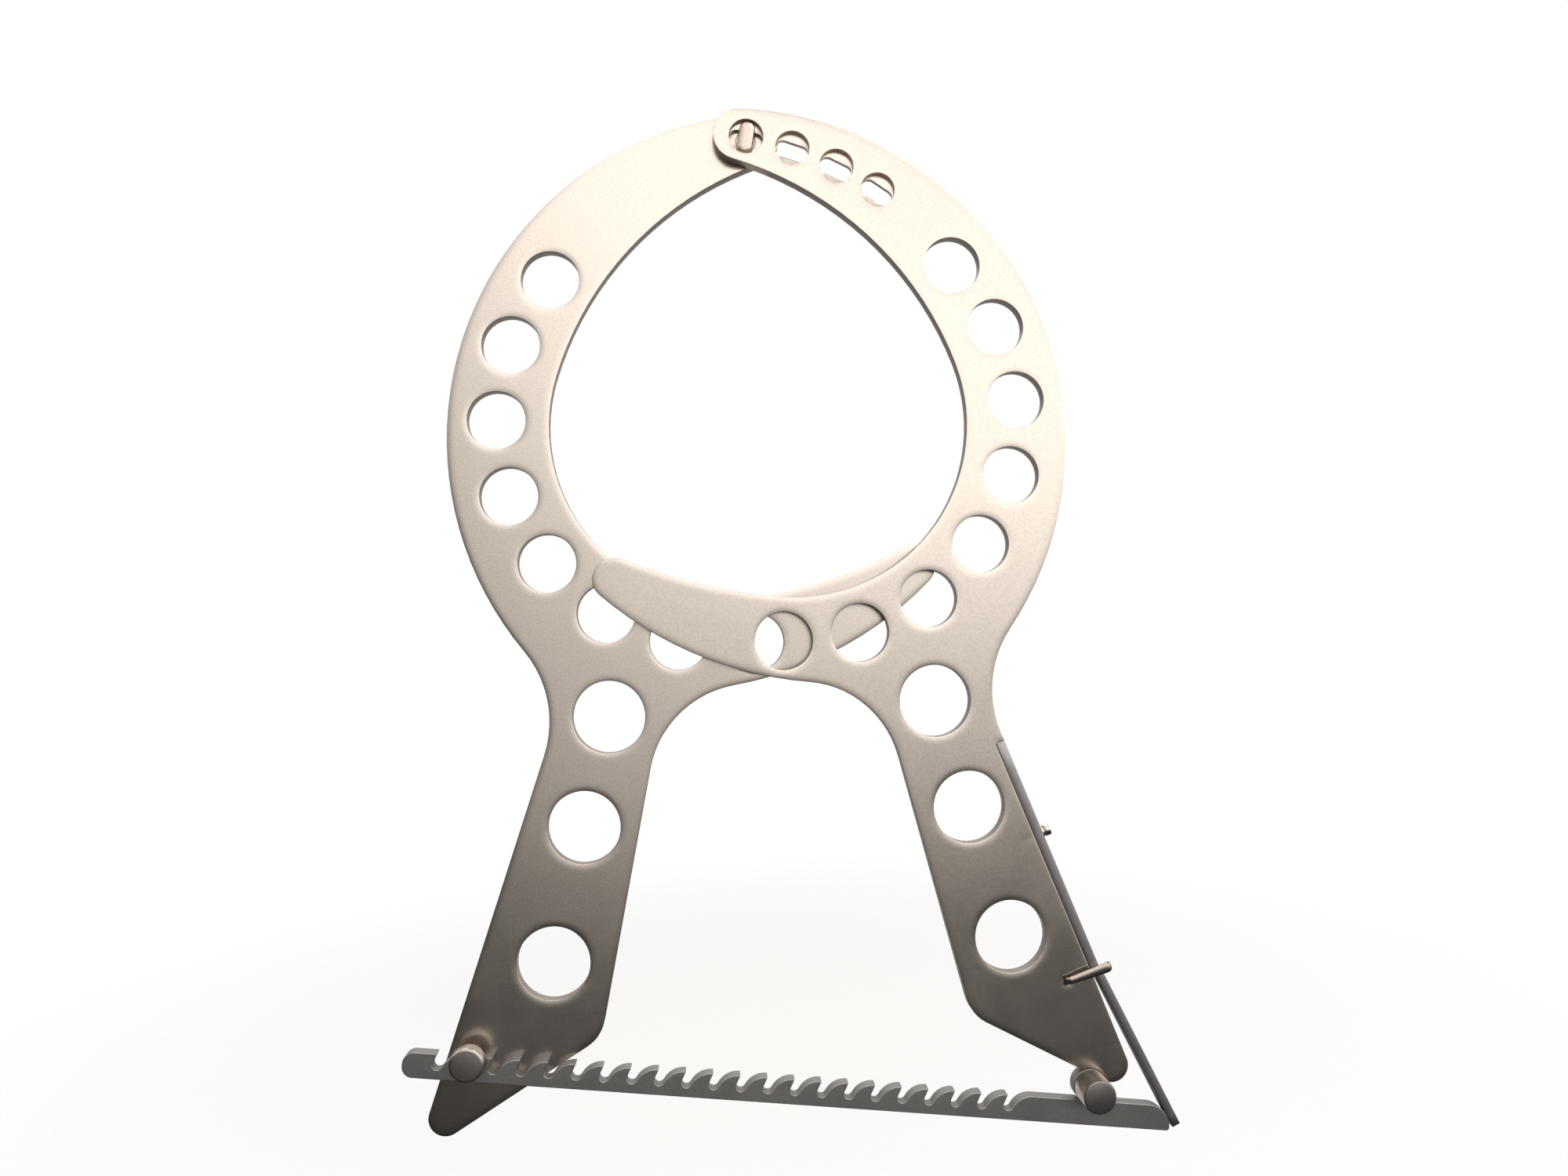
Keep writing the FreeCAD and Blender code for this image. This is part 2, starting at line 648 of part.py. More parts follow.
def ratchet_bar():
    """A flat bar with hooked teeth along its top and a half-lap boss at its pivot."""
    body = new_body(
        "ratchet_bar", x="Sizes.hinge_x + Sizes.bar_pivot_x", z="Sizes.hinge_z + Sizes.bar_pivot_z",
        angle="Sizes.bar_tilt",
    )
    low = "-Sizes.bar_drop"
    high = "-Sizes.bar_drop + Sizes.bar_height"
    draw = Drawing(body, "blank")
    draw.polygon([
        ("-Sizes.bar_left", low), ("Sizes.bar_right", low),
        ("Sizes.bar_right", high), ("-Sizes.bar_left", high),
    ])
    pad(draw.done(), "blank_pad", "Sizes.plate_thickness")
    # Rounded ends: a wide nose that the spring presses, and a plain tail
    bottom = -SIZES["bar_drop"]
    top = bottom + SIZES["bar_height"]
    right, left = SIZES["bar_right"], -SIZES["bar_left"]
    round_edges(body, "nose", "Sizes.bar_end_radius", lambda edge: at(edge, right, top))
    round_edges(body, "foot", "Sizes.bar_foot_radius", lambda edge: at(edge, right, bottom))
    round_edges(
        body, "end", "Sizes.bar_tail_radius",
        lambda edge: at(edge, left, top) or at(edge, left, bottom),
    )
    # One gullet: a steep hooked face, a round floor and a long curved back up to the next tip
    tip, floor_left, floor_right, crest = (-24.9, -4.3), (-25.9, -7.2), (-23.0, -8.1), (-17.2, -4.3)
    draw = Drawing(body, "gullet", lift="Sizes.plate_thickness")
    face = draw.line(tip, floor_left)
    floor = draw.arc(floor_left, floor_right, SIZES["gullet_radius"], False)
    back = draw.arc(floor_right, crest, SIZES["tooth_pitch"] - 1, True)
    rise = draw.line(crest, (crest[0], 0.0))
    lid = draw.line((crest[0], 0.0), (tip[0], 0.0))
    drop = draw.line((tip[0], 0.0), tip)
    draw.hold("Tangent", face, 2, floor, 1)
    draw.hold("Tangent", floor, 2, back, 2)
    draw.hold("Perpendicular", back, 1, rise, 1)
    draw.hold("Coincident", rise, 2, lid, 1)
    draw.hold("Coincident", lid, 2, drop, 1)
    draw.hold("Coincident", drop, 2, face, 1)
    draw.hold("Vertical", rise)
    draw.hold("Horizontal", lid)
    draw.hold("Vertical", drop)
    draw.hold("DistanceY", -1, 1, lid, 1, size=(0.0, "0"))
    tip_place = (-SIZES["tooth_first"], "-Sizes.tooth_first")
    top_place = (top, high)
    draw.place(face, 1, tip_place, top_place)
    crest_place = "-Sizes.tooth_first + Sizes.tooth_pitch - Sizes.tooth_land"
    crest_value = -SIZES["tooth_first"] + SIZES["tooth_pitch"] - SIZES["tooth_land"]
    draw.place(rise, 1, (crest_value, crest_place), top_place)
    lead_value = -SIZES["tooth_first"] + SIZES["gullet_lead"]
    level_value = bottom + SIZES["gullet_floor"] + SIZES["gullet_radius"]
    draw.place(
        floor, 3, (lead_value, "-Sizes.tooth_first + Sizes.gullet_lead"),
        (level_value, f"{low} + Sizes.gullet_floor + Sizes.gullet_radius"),
    )
    draw.hold("Radius", floor, size=mm("gullet_radius"))
    sketch = draw.done()
    gullet = pocket(sketch, "gullet_cut", THROUGH)
    # As many teeth as fit before the plain end
    row = "floor((Sizes.bar_left - Sizes.bar_plain_end - Sizes.tooth_first) / Sizes.tooth_pitch)"
    pattern(
        "LinearPattern", [gullet], "teeth", (sketch, ["H_Axis"]), f"{row} + 1",
        Length=f"Sizes.tooth_pitch * {row}", Reversed=True,
    )
    # Boss over the front half of the lap joint, and room for the leg's ear behind it
    centre = (0.0, "0")
    draw = Drawing(body, "boss", lift="Sizes.plate_thickness")
    draw.circle(centre, centre, mm("lap_radius"))
    pad(draw.done(), "boss_pad", LAP_THICKNESS, Reversed=True)
    draw = Drawing(body, "ear_room")
    draw.circle(centre, centre, follows(LAP_RECESS))
    pocket(draw.done(), "ear_room_cut", f"Sizes.plate_thickness - {LAP_THICKNESS}", Reversed=True)
    draw = Drawing(body, "bore", lift="Sizes.plate_thickness")
    draw.circle(centre, centre, follows(BORE_RADIUS))
    pocket(draw.done(), "bore_cut", THROUGH)
    return body


def thumb_screw():
    """A knurled head with a collar, on a shank through the boss and the ear."""
    body = new_body(
        "thumb_screw", x="Sizes.hinge_x + Sizes.bar_pivot_x", z="Sizes.hinge_z + Sizes.bar_pivot_z",
    )
    shank = "Sizes.screw_diameter / 2"
    collar = "Sizes.collar_diameter / 2"
    head = "Sizes.thumb_diameter / 2"
    bevel = "Sizes.thumb_bevel"
    seat = "-(Sizes.plate_thickness + Sizes.thumb_lift)"
    step = f"{seat} - Sizes.collar_height"
    face = f"{seat} - Sizes.thumb_height"
    draw = Drawing(body, "section", role="XY_Plane")
    draw.polygon([
        ("0", face), (f"{head} - {bevel}", face), (head, f"{face} + {bevel}"), (head, step),
        (collar, step), (collar, seat), (shank, seat), (shank, "-Sizes.thumb_lift"),
        ("0", "-Sizes.thumb_lift"),
    ])
    revolve(draw.done(), "section_turn")
    # One groove of the knurl, then the rest round the head
    draw = Drawing(body, "groove", lift="Sizes.plate_thickness + Sizes.thumb_lift + Sizes.thumb_height")
    outside = f"{head} + Sizes.knurl_depth"
    draw.polygon([
        (f"{head} - Sizes.knurl_depth", "0"), (outside, "-Sizes.knurl_width"),
        (outside, "Sizes.knurl_width"),
    ])
    sketch = draw.done()
    groove = pocket(sketch, "groove_cut", "Sizes.thumb_height - Sizes.collar_height")
    pattern(
        "PolarPattern", [groove], "knurl", (sketch, ["N_Axis"]), "Sizes.knurl_count", Angle=360.0,
    )
    return body


def leaf_spring():
    """A strip in the rebate of the front leg whose free end presses the nose of the bar."""
    body = new_body("leaf_spring", x="Sizes.hinge_x", z="Sizes.hinge_z")
    draw = Drawing(body, "outline")
    # Rough corners, down the outer side and up the inner one
    top, bend, end = (69.6, -187.3), (95.3, -258.0), (117.8, -305.8)
    end_in, bend_in, top_in = (115.9, -306.7), (93.4, -258.8), (67.7, -188.0)
    outer = draw.line(bend, top)
    free = draw.line(end, bend)
    foot = draw.line(end, end_in)
    free_in = draw.line(end_in, bend_in)
    inner = draw.line(bend_in, top_in)
    head = draw.line(top_in, top)
    corners = ((outer, 1, free, 2), (free, 1, foot, 1), (foot, 2, free_in, 1))
    corners += ((free_in, 2, inner, 1), (inner, 2, head, 1), (head, 2, outer, 2))
    for corner in corners:
        draw.hold("Coincident", *corner)
    draw.place(outer, 2, mm("shoulder_x"), mm("shoulder_z"))
    draw.hold("Angle", outer, size=deg("leg_outer_angle"))
    draw.hold("Distance", outer, size=mm("leaf_straight"))
    draw.hold("Distance", free, size=mm("leaf_free"))
    draw.hold("Parallel", outer, inner)
    draw.hold("Parallel", free, free_in)
    draw.hold("Perpendicular", head, outer)
    draw.hold("Perpendicular", foot, free)
    draw.hold("Distance", head, size=mm("leaf_thickness"))
    draw.hold("Distance", foot, size=mm("leaf_thickness"))
    # The nose of the bar, with the clearance that the strip keeps from it
    along = "(Sizes.bar_right - Sizes.bar_end_radius)"
    aside = "(Sizes.bar_height - Sizes.bar_drop - Sizes.bar_end_radius)"
    tilt = math.radians(SIZES["bar_tilt"])
    along_value = SIZES["bar_right"] - SIZES["bar_end_radius"]
    aside_value = SIZES["bar_height"] - SIZES["bar_drop"] - SIZES["bar_end_radius"]
    nose_x = SIZES["bar_pivot_x"] + along_value * math.cos(tilt) + aside_value * math.sin(tilt)
    nose_z = SIZES["bar_pivot_z"] - along_value * math.sin(tilt) + aside_value * math.cos(tilt)
    nose = draw.circle(
        (nose_x, f"Sizes.bar_pivot_x + {along} * cos({TILT}) + {aside} * sin({TILT})"),
        (nose_z, f"Sizes.bar_pivot_z - {along} * sin({TILT}) + {aside} * cos({TILT})"),
        (SIZES["bar_end_radius"] + SIZES["leaf_contact_gap"],
         "Sizes.bar_end_radius + Sizes.leaf_contact_gap"),
        construction=True,
    )
    draw.hold("Tangent", free_in, nose)
    pad(draw.done(), "strip", "Sizes.plate_thickness")
    spring_screw_hole(body, "Sizes.spring_screw_diameter / 2 + Sizes.bore_clearance")
    return body


# Place on the outer face of the strip where its screw stands
LEAN = "((Sizes.leg_outer_angle - 90) * 1deg)"
SCREW_X = f"(Sizes.shoulder_x + Sizes.spring_screw_down * sin({LEAN}))"
SCREW_Z = f"(Sizes.shoulder_z - Sizes.spring_screw_down * cos({LEAN}))"


def spring_screw_hole(body, radius):
    """Drill square into the outer edge of the leg, from the face of the strip."""
    plane = [item for item in body.Origin.OriginFeatures if item.Role == "XY_Plane"][0]
    sketch = body.newObject("Sketcher::SketchObject", f"{body.Name}_drill")
    sketch.AttachmentSupport = [(plane, "")]
    sketch.MapMode = "FlatFace"
    sketch.AttachmentOffset = Placement(Vector(), Rotation(Vector(0, 1, 0), 1))
    sketch.setExpression("AttachmentOffset.Base.x", SCREW_X)
    sketch.setExpression("AttachmentOffset.Base.y", "-Sizes.plate_thickness / 2")
    sketch.setExpression("AttachmentOffset.Base.z", SCREW_Z)
    sketch.setExpression("AttachmentOffset.Rotation.Angle", f"90deg - {LEAN}")
    sketch.addGeometry(Part.Circle(Vector(), Vector(0, 0, 1), 1))
    sketch.addConstraint(Sketcher.Constraint("Coincident", 0, 3, -1, 1))
    sketch.addConstraint(Sketcher.Constraint("Radius", 0, 1.0))
    sketch.setExpression("Constraints[1]", radius)
    doc.recompute()
    pocket(sketch, "drill_cut", "Sizes.spring_screw_depth")


def spring_screw():
    """A small slotted screw through the strip, drawn upright with its thread below."""
    body = new_body(
        "spring_screw", x=f"Sizes.hinge_x + {SCREW_X}", y="-Sizes.plate_thickness / 2",
        z=f"Sizes.hinge_z + {SCREW_Z}", angle=f"90 - {LEAN} / 1deg",
    )
    thread = "Sizes.spring_screw_diameter / 2"
    core = SCREW_CORE
    skin = "-(Sizes.leaf_thickness + Sizes.relief_clearance)"
    point = "-(Sizes.spring_screw_depth - Sizes.drill_point)"
    collar = "Sizes.spring_screw_collar / 2"
    rise = "Sizes.spring_screw_collar_height"
    head = "Sizes.spring_screw_head_diameter / 2"
    top = f"{rise} + Sizes.spring_screw_head_thickness"
    draw = Drawing(body, "section")
    draw.polygon([
        ("0", point), (core, point), (core, skin), (thread, skin), (thread, "0"),
        (collar, "0"), (collar, rise), (head, rise), (head, top), ("0", top),
    ])
    revolve(draw.done(), "section_turn")
    draw = Drawing(body, "driver_slot", role="XY_Plane", lift=top)
    half, reach = "Sizes.driver_slot_width / 2", head
    draw.polygon([
        (f"-{half}", f"-{reach}"), (half, f"-{reach}"), (half, reach), (f"-{half}", reach),
    ])
    pocket(draw.done(), "driver_slot_cut", "Sizes.driver_slot_depth")
    return body


def spring_keeper():
    """A strap across the leg: a prong in the leg at one end, a hook round the strip at the other."""
    body = new_body(
        "spring_keeper", x="Sizes.hinge_x + Sizes.strap_x", z="Sizes.hinge_z + Sizes.strap_z",
        angle="-Sizes.strap_angle",
    )
    # Distance along the strap to the outer face of the strip, and on to the end of the hook
    swing = "((Sizes.leg_outer_angle - Sizes.strap_angle - 90) * 1deg)"
    drop = "(Sizes.shoulder_z - Sizes.strap_z)"
    aside = "(Sizes.strap_x - Sizes.shoulder_x)"
    edge = f"({drop} * sin({LEAN}) - {aside} * cos({LEAN})) / cos({swing})"
    spread = f"Sizes.strap_width / 2 * abs(tan({swing}))"
    hook = f"{edge} + {spread} + Sizes.strap_slack"
    end = f"{hook} + Sizes.strap_hook"
    seat = "-(Sizes.plate_thickness + Sizes.strap_seat)"
    face = f"{seat} - Sizes.strap_thickness"
    prong = "-(Sizes.plate_thickness - Sizes.strap_prong_depth)"
    draw = Drawing(body, "side", role="XY_Plane")
    draw.polygon([
        ("0", face), (end, face), (end, "-Sizes.strap_seat"), (hook, "-Sizes.strap_seat"),
        (hook, seat), ("Sizes.strap_prong", seat), ("Sizes.strap_prong", prong), ("0", prong),
    ])
    pad(draw.done(), "strap", "Sizes.strap_width", Midplane=True)
    front = body.Tip.Shape.BoundBox.YMin
    right = body.Tip.Shape.BoundBox.XMax

    def outside(edge):
        box = edge.BoundBox
        on_front = box.YMax < front + 1e-4
        on_end = box.XMin > right - 1e-4
        return on_front or on_end

    round_edges(body, "rounding", "Sizes.strap_round", outside)
    return body


parts = [
    front_plate(), rear_plate(), hinge_stud(), catch_stud(), ratchet_bar(),
    thumb_screw(), leaf_spring(), spring_screw(), spring_keeper(),
]
doc.recompute()

for item in doc.Objects:
    if "Invalid" in item.State or "Error" in item.State:
        raise RuntimeError(f"{item.Label} failed: {item.State}")
for part in parts:
    if part.Shape.isNull() or not part.Shape.isValid() or len(part.Shape.Solids) != 1:
        raise RuntimeError(f"{part.Label} is not one valid solid")

os.makedirs("parts", exist_ok=True)
for part in parts:
    part.Shape.exportStep(f"parts/{part.Label}.step")
    box = part.Shape.BoundBox
    print(
        f"{part.Label:14s} x {box.XMin:7.2f} {box.XMax:7.2f}  y {box.YMin:6.2f} {box.YMax:6.2f}"
        f"  z {box.ZMin:7.2f} {box.ZMax:7.2f}  volume {part.Shape.Volume:9.1f}"
    )
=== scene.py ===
# %% [markdown]
# A hinged retractor in satin steel. Two flat arms turn on a stud at the top of a ring, and a
# toothed bar between their legs holds them open. The solid model already has the true sizes,
# so this lesson adds what a solid model lacks: finishes, softened edges, fine knurling and a
# spring that bends. The object's sizes are in millimetres and become metres with MM, and the
# camera, the lamps and the floor are placed in metres.

import math

import bmesh
import bpy
from mathutils import Matrix, Vector


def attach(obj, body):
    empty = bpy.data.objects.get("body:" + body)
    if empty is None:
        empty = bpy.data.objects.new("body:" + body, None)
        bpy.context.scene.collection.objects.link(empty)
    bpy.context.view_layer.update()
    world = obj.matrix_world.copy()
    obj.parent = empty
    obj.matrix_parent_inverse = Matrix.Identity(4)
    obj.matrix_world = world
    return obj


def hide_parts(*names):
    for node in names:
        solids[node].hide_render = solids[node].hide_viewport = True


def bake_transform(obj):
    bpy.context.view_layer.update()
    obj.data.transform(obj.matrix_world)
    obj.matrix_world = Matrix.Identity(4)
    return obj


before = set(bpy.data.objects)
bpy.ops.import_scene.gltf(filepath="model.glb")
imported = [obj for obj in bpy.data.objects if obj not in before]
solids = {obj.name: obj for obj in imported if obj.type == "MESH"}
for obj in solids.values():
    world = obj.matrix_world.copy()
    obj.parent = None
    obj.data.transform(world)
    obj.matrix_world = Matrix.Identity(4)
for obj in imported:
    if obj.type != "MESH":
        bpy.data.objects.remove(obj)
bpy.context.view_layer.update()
MM = 0.001
print("solid pieces:", ", ".join(sorted(solids)))

# %% [markdown]
# The drawing of the arms starts at the hinge, so most places are given from there: so far to
# the right, so far up, and a depth that grows towards the back. The front face of the front
# arm is 4 mm before the plane where the two arms meet.

# %% Places measured from the hinge
HINGE = Vector((63.1, 0.0, 226.3)) * MM
FRONT = -4.0
DEPTH_AXIS = Vector((0.0, 1.0, 0.0))


def from_hinge(across, up, depth=0.0):
    """A place beside and above the hinge, in metres in the model's own frame."""
    return HINGE + Vector((across, depth, up)) * MM


BAR_PIVOT = from_hinge(90.0, -292.0)
print("bar pivot at", [round(value, 4) for value in BAR_PIVOT])

# %% [markdown]
# The camera comes next, because light on metal only makes sense from where it is seen. It
# stands at half the object's height, a little left of its middle, and looks slightly up. Its
# lens is wide and near, so the ring and the legs lean away from each other as they do to an
# eye at arm's length.

# %% Camera
viewpoint = bpy.data.cameras.new("viewpoint")
viewpoint.sensor_width = 36.0
viewpoint.lens = 25.992
viewpoint.clip_start = 0.01
camera = bpy.data.objects.new("viewpoint", viewpoint)
camera.location = (0.0440, -0.3429, 0.0751)
camera.rotation_euler = [math.radians(angle) for angle in (92.19, 2.74, -3.963)]
bpy.context.scene.collection.objects.link(camera)
bpy.context.scene.camera = camera
bpy.context.scene.view_settings.view_transform = "Standard"
print("camera sees", round(math.degrees(viewpoint.angle_x), 1), "degrees across")

# %% [markdown]
# Nodes are laid out in code, so a few short helpers keep that readable. One adds a node with
# its numbers and links, and the others are the sums that nearly every finish needs.

# %% Helpers for nodes


def fill(tree, node, values):
    """Set a node's inputs, by name or number, to numbers or to other nodes' outputs."""
    for name, value in values.items():
        if isinstance(value, bpy.types.NodeSocket):
            tree.links.new(value, node.inputs[name])
        else:
            node.inputs[name].default_value = value
    return node


def add(tree, kind, values=None, **settings):
    """One node with its settings and its inputs."""
    node = tree.nodes.new("ShaderNode" + kind)
    for name, value in settings.items():
        setattr(node, name, value)
    return fill(tree, node, values or {})


def sums(tree, operation, first, second=0.0):
    """The result of one sum."""
    return add(tree, "Math", {0: first, 1: second}, operation=operation).outputs[0]


def plus(tree, first, second):
    return sums(tree, "ADD", first, second)


def times(tree, first, second):
    return sums(tree, "MULTIPLY", first, second)


def larger(tree, first, second):
    return sums(tree, "MAXIMUM", first, second)


def vectors(tree, operation, first, second=(0.0, 0.0, 0.0)):
    """The result of one sum of vectors, which is a number where the sum measures something."""
    node = add(tree, "VectorMath", {0: first, 1: second}, operation=operation)
    measures = operation in ("LENGTH", "DISTANCE", "DOT_PRODUCT")
    return node.outputs["Value" if measures else "Vector"]


print("sums ready")

# %% [markdown]
# The next helpers change values over the surface. A slope stretches one span of values to
# another with soft ends, a band is one between two values only, and a distance along a
# direction turns a place on the object into a plain number in millimetres.

# %% Helpers for values on the surface
BAND_SOFTNESS = 0.08


def slope(tree, value, low, high, to_low=0.0, to_high=1.0):
    """A value stretched smoothly from one span to another."""
    values = {0: value, 1: low, 2: high, 3: to_low, 4: to_high}
    return add(tree, "MapRange", values, interpolation_type="SMOOTHSTEP").outputs[0]


def band(tree, value, low, high):
    """One between two values, nothing outside them, with soft sides."""
    rising = slope(tree, value, low - BAND_SOFTNESS, low)
    falling = slope(tree, value, high + BAND_SOFTNESS, high)
    return times(tree, rising, falling)


def mix_colours(tree, share, first, second, blend="MIX"):
    """One colour laid over another by a share."""
    values = {0: share, 6: first, 7: second}
    return add(tree, "Mix", values, data_type="RGBA", blend_type=blend).outputs[2]


def own_place(tree):
    """Where each point lies, in the model's own frame."""
    return add(tree, "TexCoord").outputs["Object"]


def measured(tree, origin, direction):
    """How far each point lies along a direction from an origin, in millimetres."""
    apart = vectors(tree, "SUBTRACT", own_place(tree), origin)
    return vectors(tree, "DOT_PRODUCT", apart, direction / MM)


print("surface helpers ready")

# %% [markdown]
# An effect that several finishes share is a node group: built once, with named values going in
# and masks or heights coming out, and then placed in each material with values of its own.

# %% Helpers for groups


def new_group(name, inputs, outputs):
    """An empty node group with named sockets; returns it with what goes in and comes out."""
    group = bpy.data.node_groups.new(name, "ShaderNodeTree")
    new_socket = group.interface.new_socket
    for label, kind, value in inputs:
        socket = new_socket(name=label, in_out="INPUT", socket_type="NodeSocket" + kind)
        socket.default_value = value
    for label, kind in outputs:
        new_socket(name=label, in_out="OUTPUT", socket_type="NodeSocket" + kind)
    given = group.nodes.new("NodeGroupInput").outputs
    result = group.nodes.new("NodeGroupOutput").inputs
    return group, given, result


def place_group(tree, group, values):
    """The outputs of a group placed in a material with its own values."""
    node = tree.nodes.new("ShaderNodeGroup")
    node.node_tree = group
    return fill(tree, node, values).outputs


print("group helpers ready")

# %% [markdown]
# Glass beads blown at steel leave a fine frosted skin. It could be a picture of that skin, but
# noise made from the place in space needs no picture and has no seams. Three noises do it: a
# fine one for the frosting, a coarser one for its speckle, and a broad faint one, because no
# blasting is perfectly even.

# %% Group: blasted skin
SPECKLES_PER_METRE = 1600.0
CLOUDS_PER_METRE = 70.0
blasted_skin, given, result = new_group(
    "blasted_skin", [("Grain", "Float", 0.3)],
    [("Height", "Float"), ("Speckle", "Float"), ("Cloud", "Float")],
)
place = own_place(blasted_skin)
grains_per_metre = sums(blasted_skin, "DIVIDE", 1.0 / MM, given["Grain"])
for label, scale, detail in (
    ("Height", grains_per_metre, 2.0),
    ("Speckle", SPECKLES_PER_METRE, 1.0),
    ("Cloud", CLOUDS_PER_METRE, 2.0),
):
    noise = add(blasted_skin, "TexNoise", {"Vector": place, "Scale": scale, "Detail": detail})
    blasted_skin.links.new(noise.outputs[0], result[label])
print("group", blasted_skin.name, "has", len(blasted_skin.nodes), "nodes")

# %% [markdown]
# Every cut edge on the real thing is broken by hand, so it catches light as a thin bright
# line. Rounding the edges of the solid would cost many faces. The Bevel node only pretends:
# it gives the normal of a rounded edge, and where that turns away from the face's own normal
# there is an edge, which also makes a mask for a painted highlight in the colour. Blasting
# also wears a face down a little for a millimetre or two before each edge. A second, wide
# bevel gives that soft slope, and only a share of it is mixed in.

# %% Group: broken edges
SAME_WAY, TURNED_AWAY = 0.995, 0.85
broken_edges, given, result = new_group(
    "broken_edges", [("Width", "Float", 0.2), ("Slope", "Float", 3.5), ("Share", "Float", 0.0)],
    [("Mask", "Float"), ("Normal", "Vector")],
)
bevels = []
for label, samples in (("Width", 6), ("Slope", 8)):
    radius = times(broken_edges, given[label], MM)
    bevels.append(add(broken_edges, "Bevel", {"Radius": radius}, samples=samples).outputs[0])
narrow, wide = bevels
values = {0: given["Share"], 4: narrow, 5: wide}
worn = add(broken_edges, "Mix", values, data_type="VECTOR").outputs[1]
plain = add(broken_edges, "NewGeometry").outputs["Normal"]
alike = vectors(broken_edges, "DOT_PRODUCT", narrow, plain)
mask = slope(broken_edges, alike, SAME_WAY, TURNED_AWAY)
broken_edges.links.new(mask, result["Mask"])
broken_edges.links.new(vectors(broken_edges, "NORMALIZE", worn), result["Normal"])
print("group", broken_edges.name, "has", len(broken_edges.nodes), "nodes")

# %% [markdown]
# A lathe or an end mill leaves fine rings round its own centre. The distance from that centre,
# fed to a sine, is such a set of rings, and it stays in place however the piece moves. Depth
# is left out of the distance, so the rings run straight through the piece.

# %% Group: rings of a cutter
WITHOUT_DEPTH = (1.0, 0.0, 1.0)
cutter_rings, given, result = new_group(
    "cutter_rings", [("Centre", "Vector", (0.0, 0.0, 0.0)), ("Pitch", "Float", 0.4)],
    [("Height", "Float"), ("Distance", "Float")],
)
apart = vectors(cutter_rings, "SUBTRACT", own_place(cutter_rings), given["Centre"])
flat = vectors(cutter_rings, "MULTIPLY", apart, WITHOUT_DEPTH)
distance = sums(cutter_rings, "DIVIDE", vectors(cutter_rings, "LENGTH", flat), MM)
turns = sums(cutter_rings, "DIVIDE", distance, given["Pitch"])
wave = sums(cutter_rings, "SINE", times(cutter_rings, turns, 2.0 * math.pi))
cutter_rings.links.new(slope(cutter_rings, wave, -1.0, 1.0), result["Height"])
cutter_rings.links.new(distance, result["Distance"])
print("group", cutter_rings.name, "has", len(cutter_rings.nodes), "nodes")

# %% [markdown]
# Handling leaves hair-fine scratches. Noise stretched about a hundred times in one direction
# gives streaks, and only the crests of two such sets, which lean to either side, are kept.

# %% Group: fine scratches
SCRATCH_LEANS = (25.0, -50.0)
STRETCH = (12.0, 12.0, 1400.0)
CREST_SPAN = (0.64, 0.74)
fine_scratches, given, result = new_group(
    "fine_scratches", [("Amount", "Float", 0.5)], [("Mask", "Float")],
)
place = own_place(fine_scratches)
crests = []
for lean in SCRATCH_LEANS:
    values = {"Vector": place, "Rotation": (0.0, math.radians(lean), 0.0), "Scale": STRETCH}
    along = add(fine_scratches, "Mapping", values).outputs[0]
    streaks = add(fine_scratches, "TexNoise", {"Vector": along, "Scale": 1.0, "Detail": 0.5})
    crests.append(slope(fine_scratches, streaks.outputs[0], *CREST_SPAN))
mask = times(fine_scratches, larger(fine_scratches, *crests), given["Amount"])
fine_scratches.links.new(mask, result["Mask"])
print("group", fine_scratches.name, "has", len(fine_scratches.nodes), "nodes")

# %% [markdown]
# All the finishes are stainless steel, so one recipe serves them: a metallic shader whose
# colour and roughness wander a little, whose edges get a painted highlight, and whose skin
# has height.
# What differs is passed in, and each finish can add its own marks before the shader is fed.
# Marks are either a colour or some roughness, laid on by a mask.

# %% Recipe for a steel finish
DULL_TINT = (0.40, 0.38, 0.36, 1.0)
# The colour of the painted highlight on edges.
EDGE_HIGHLIGHT = (1.0, 0.97, 0.92, 1.0)
CLOUDY = (0.985, 1.015)
SPECKLED = (0.945, 1.035)
ROUGHNESS_DRIFT = 0.01
SCRATCH_SHINE = -0.05


def wander(tree, noise, low, high):
    """A noise, which lies mostly between 0.3 and 0.7, made to wander between two values."""
    return slope(tree, noise, 0.3, 0.7, low, high)


def paint(tree, parts, mask, colour):
    """Lay a colour over a finish by a mask."""
    parts["colour"] = mix_colours(tree, mask, parts["colour"], (*colour, 1.0))


def roughen(tree, parts, mask, amount):
    """Make a finish rougher, or smoother with a negative amount, by a mask."""
    parts["roughness"] = plus(tree, parts["roughness"], times(tree, mask, amount))


def steel(
    name, colour, roughness,
    grain=0.3, depth=0.004, edge=0.2, glint=0.35, scratched=0.3, worn=0.0,
):
    """A steel material with its tree, its shader and the parts that a finish may change."""
    material = bpy.data.materials.new(name)
    material.use_nodes = True
    tree = material.node_tree
    shader = tree.nodes["Principled BSDF"]
    shader.inputs["Metallic"].default_value = 1.0
    shader.inputs["Specular Tint"].default_value = DULL_TINT
    skin = place_group(tree, blasted_skin, {"Grain": grain})
    edges = place_group(tree, broken_edges, {"Width": edge, "Share": worn})
    scratches = place_group(tree, fine_scratches, {"Amount": scratched})["Mask"]
    cloud = wander(tree, skin["Cloud"], *CLOUDY)
    shade = times(tree, cloud, wander(tree, skin["Speckle"], *SPECKLED))
    grey = add(tree, "CombineColor", {0: shade, 1: shade, 2: shade}).outputs[0]
    # The edge mask, times glint, paints a highlight into the colour.
    highlighted_colour = mix_colours(tree, times(tree, edges["Mask"], glint), (*colour, 1.0), EDGE_HIGHLIGHT)
    low, high = roughness - ROUGHNESS_DRIFT, roughness + ROUGHNESS_DRIFT
    parts = {
        "colour": mix_colours(tree, 1.0, highlighted_colour, grey, "MULTIPLY"),
        "roughness": wander(tree, skin["Cloud"], low, high),
        "height": times(tree, skin["Height"], depth),
        "normal": edges["Normal"],
    }
    roughen(tree, parts, scratches, SCRATCH_SHINE)
    return material, tree, shader, parts


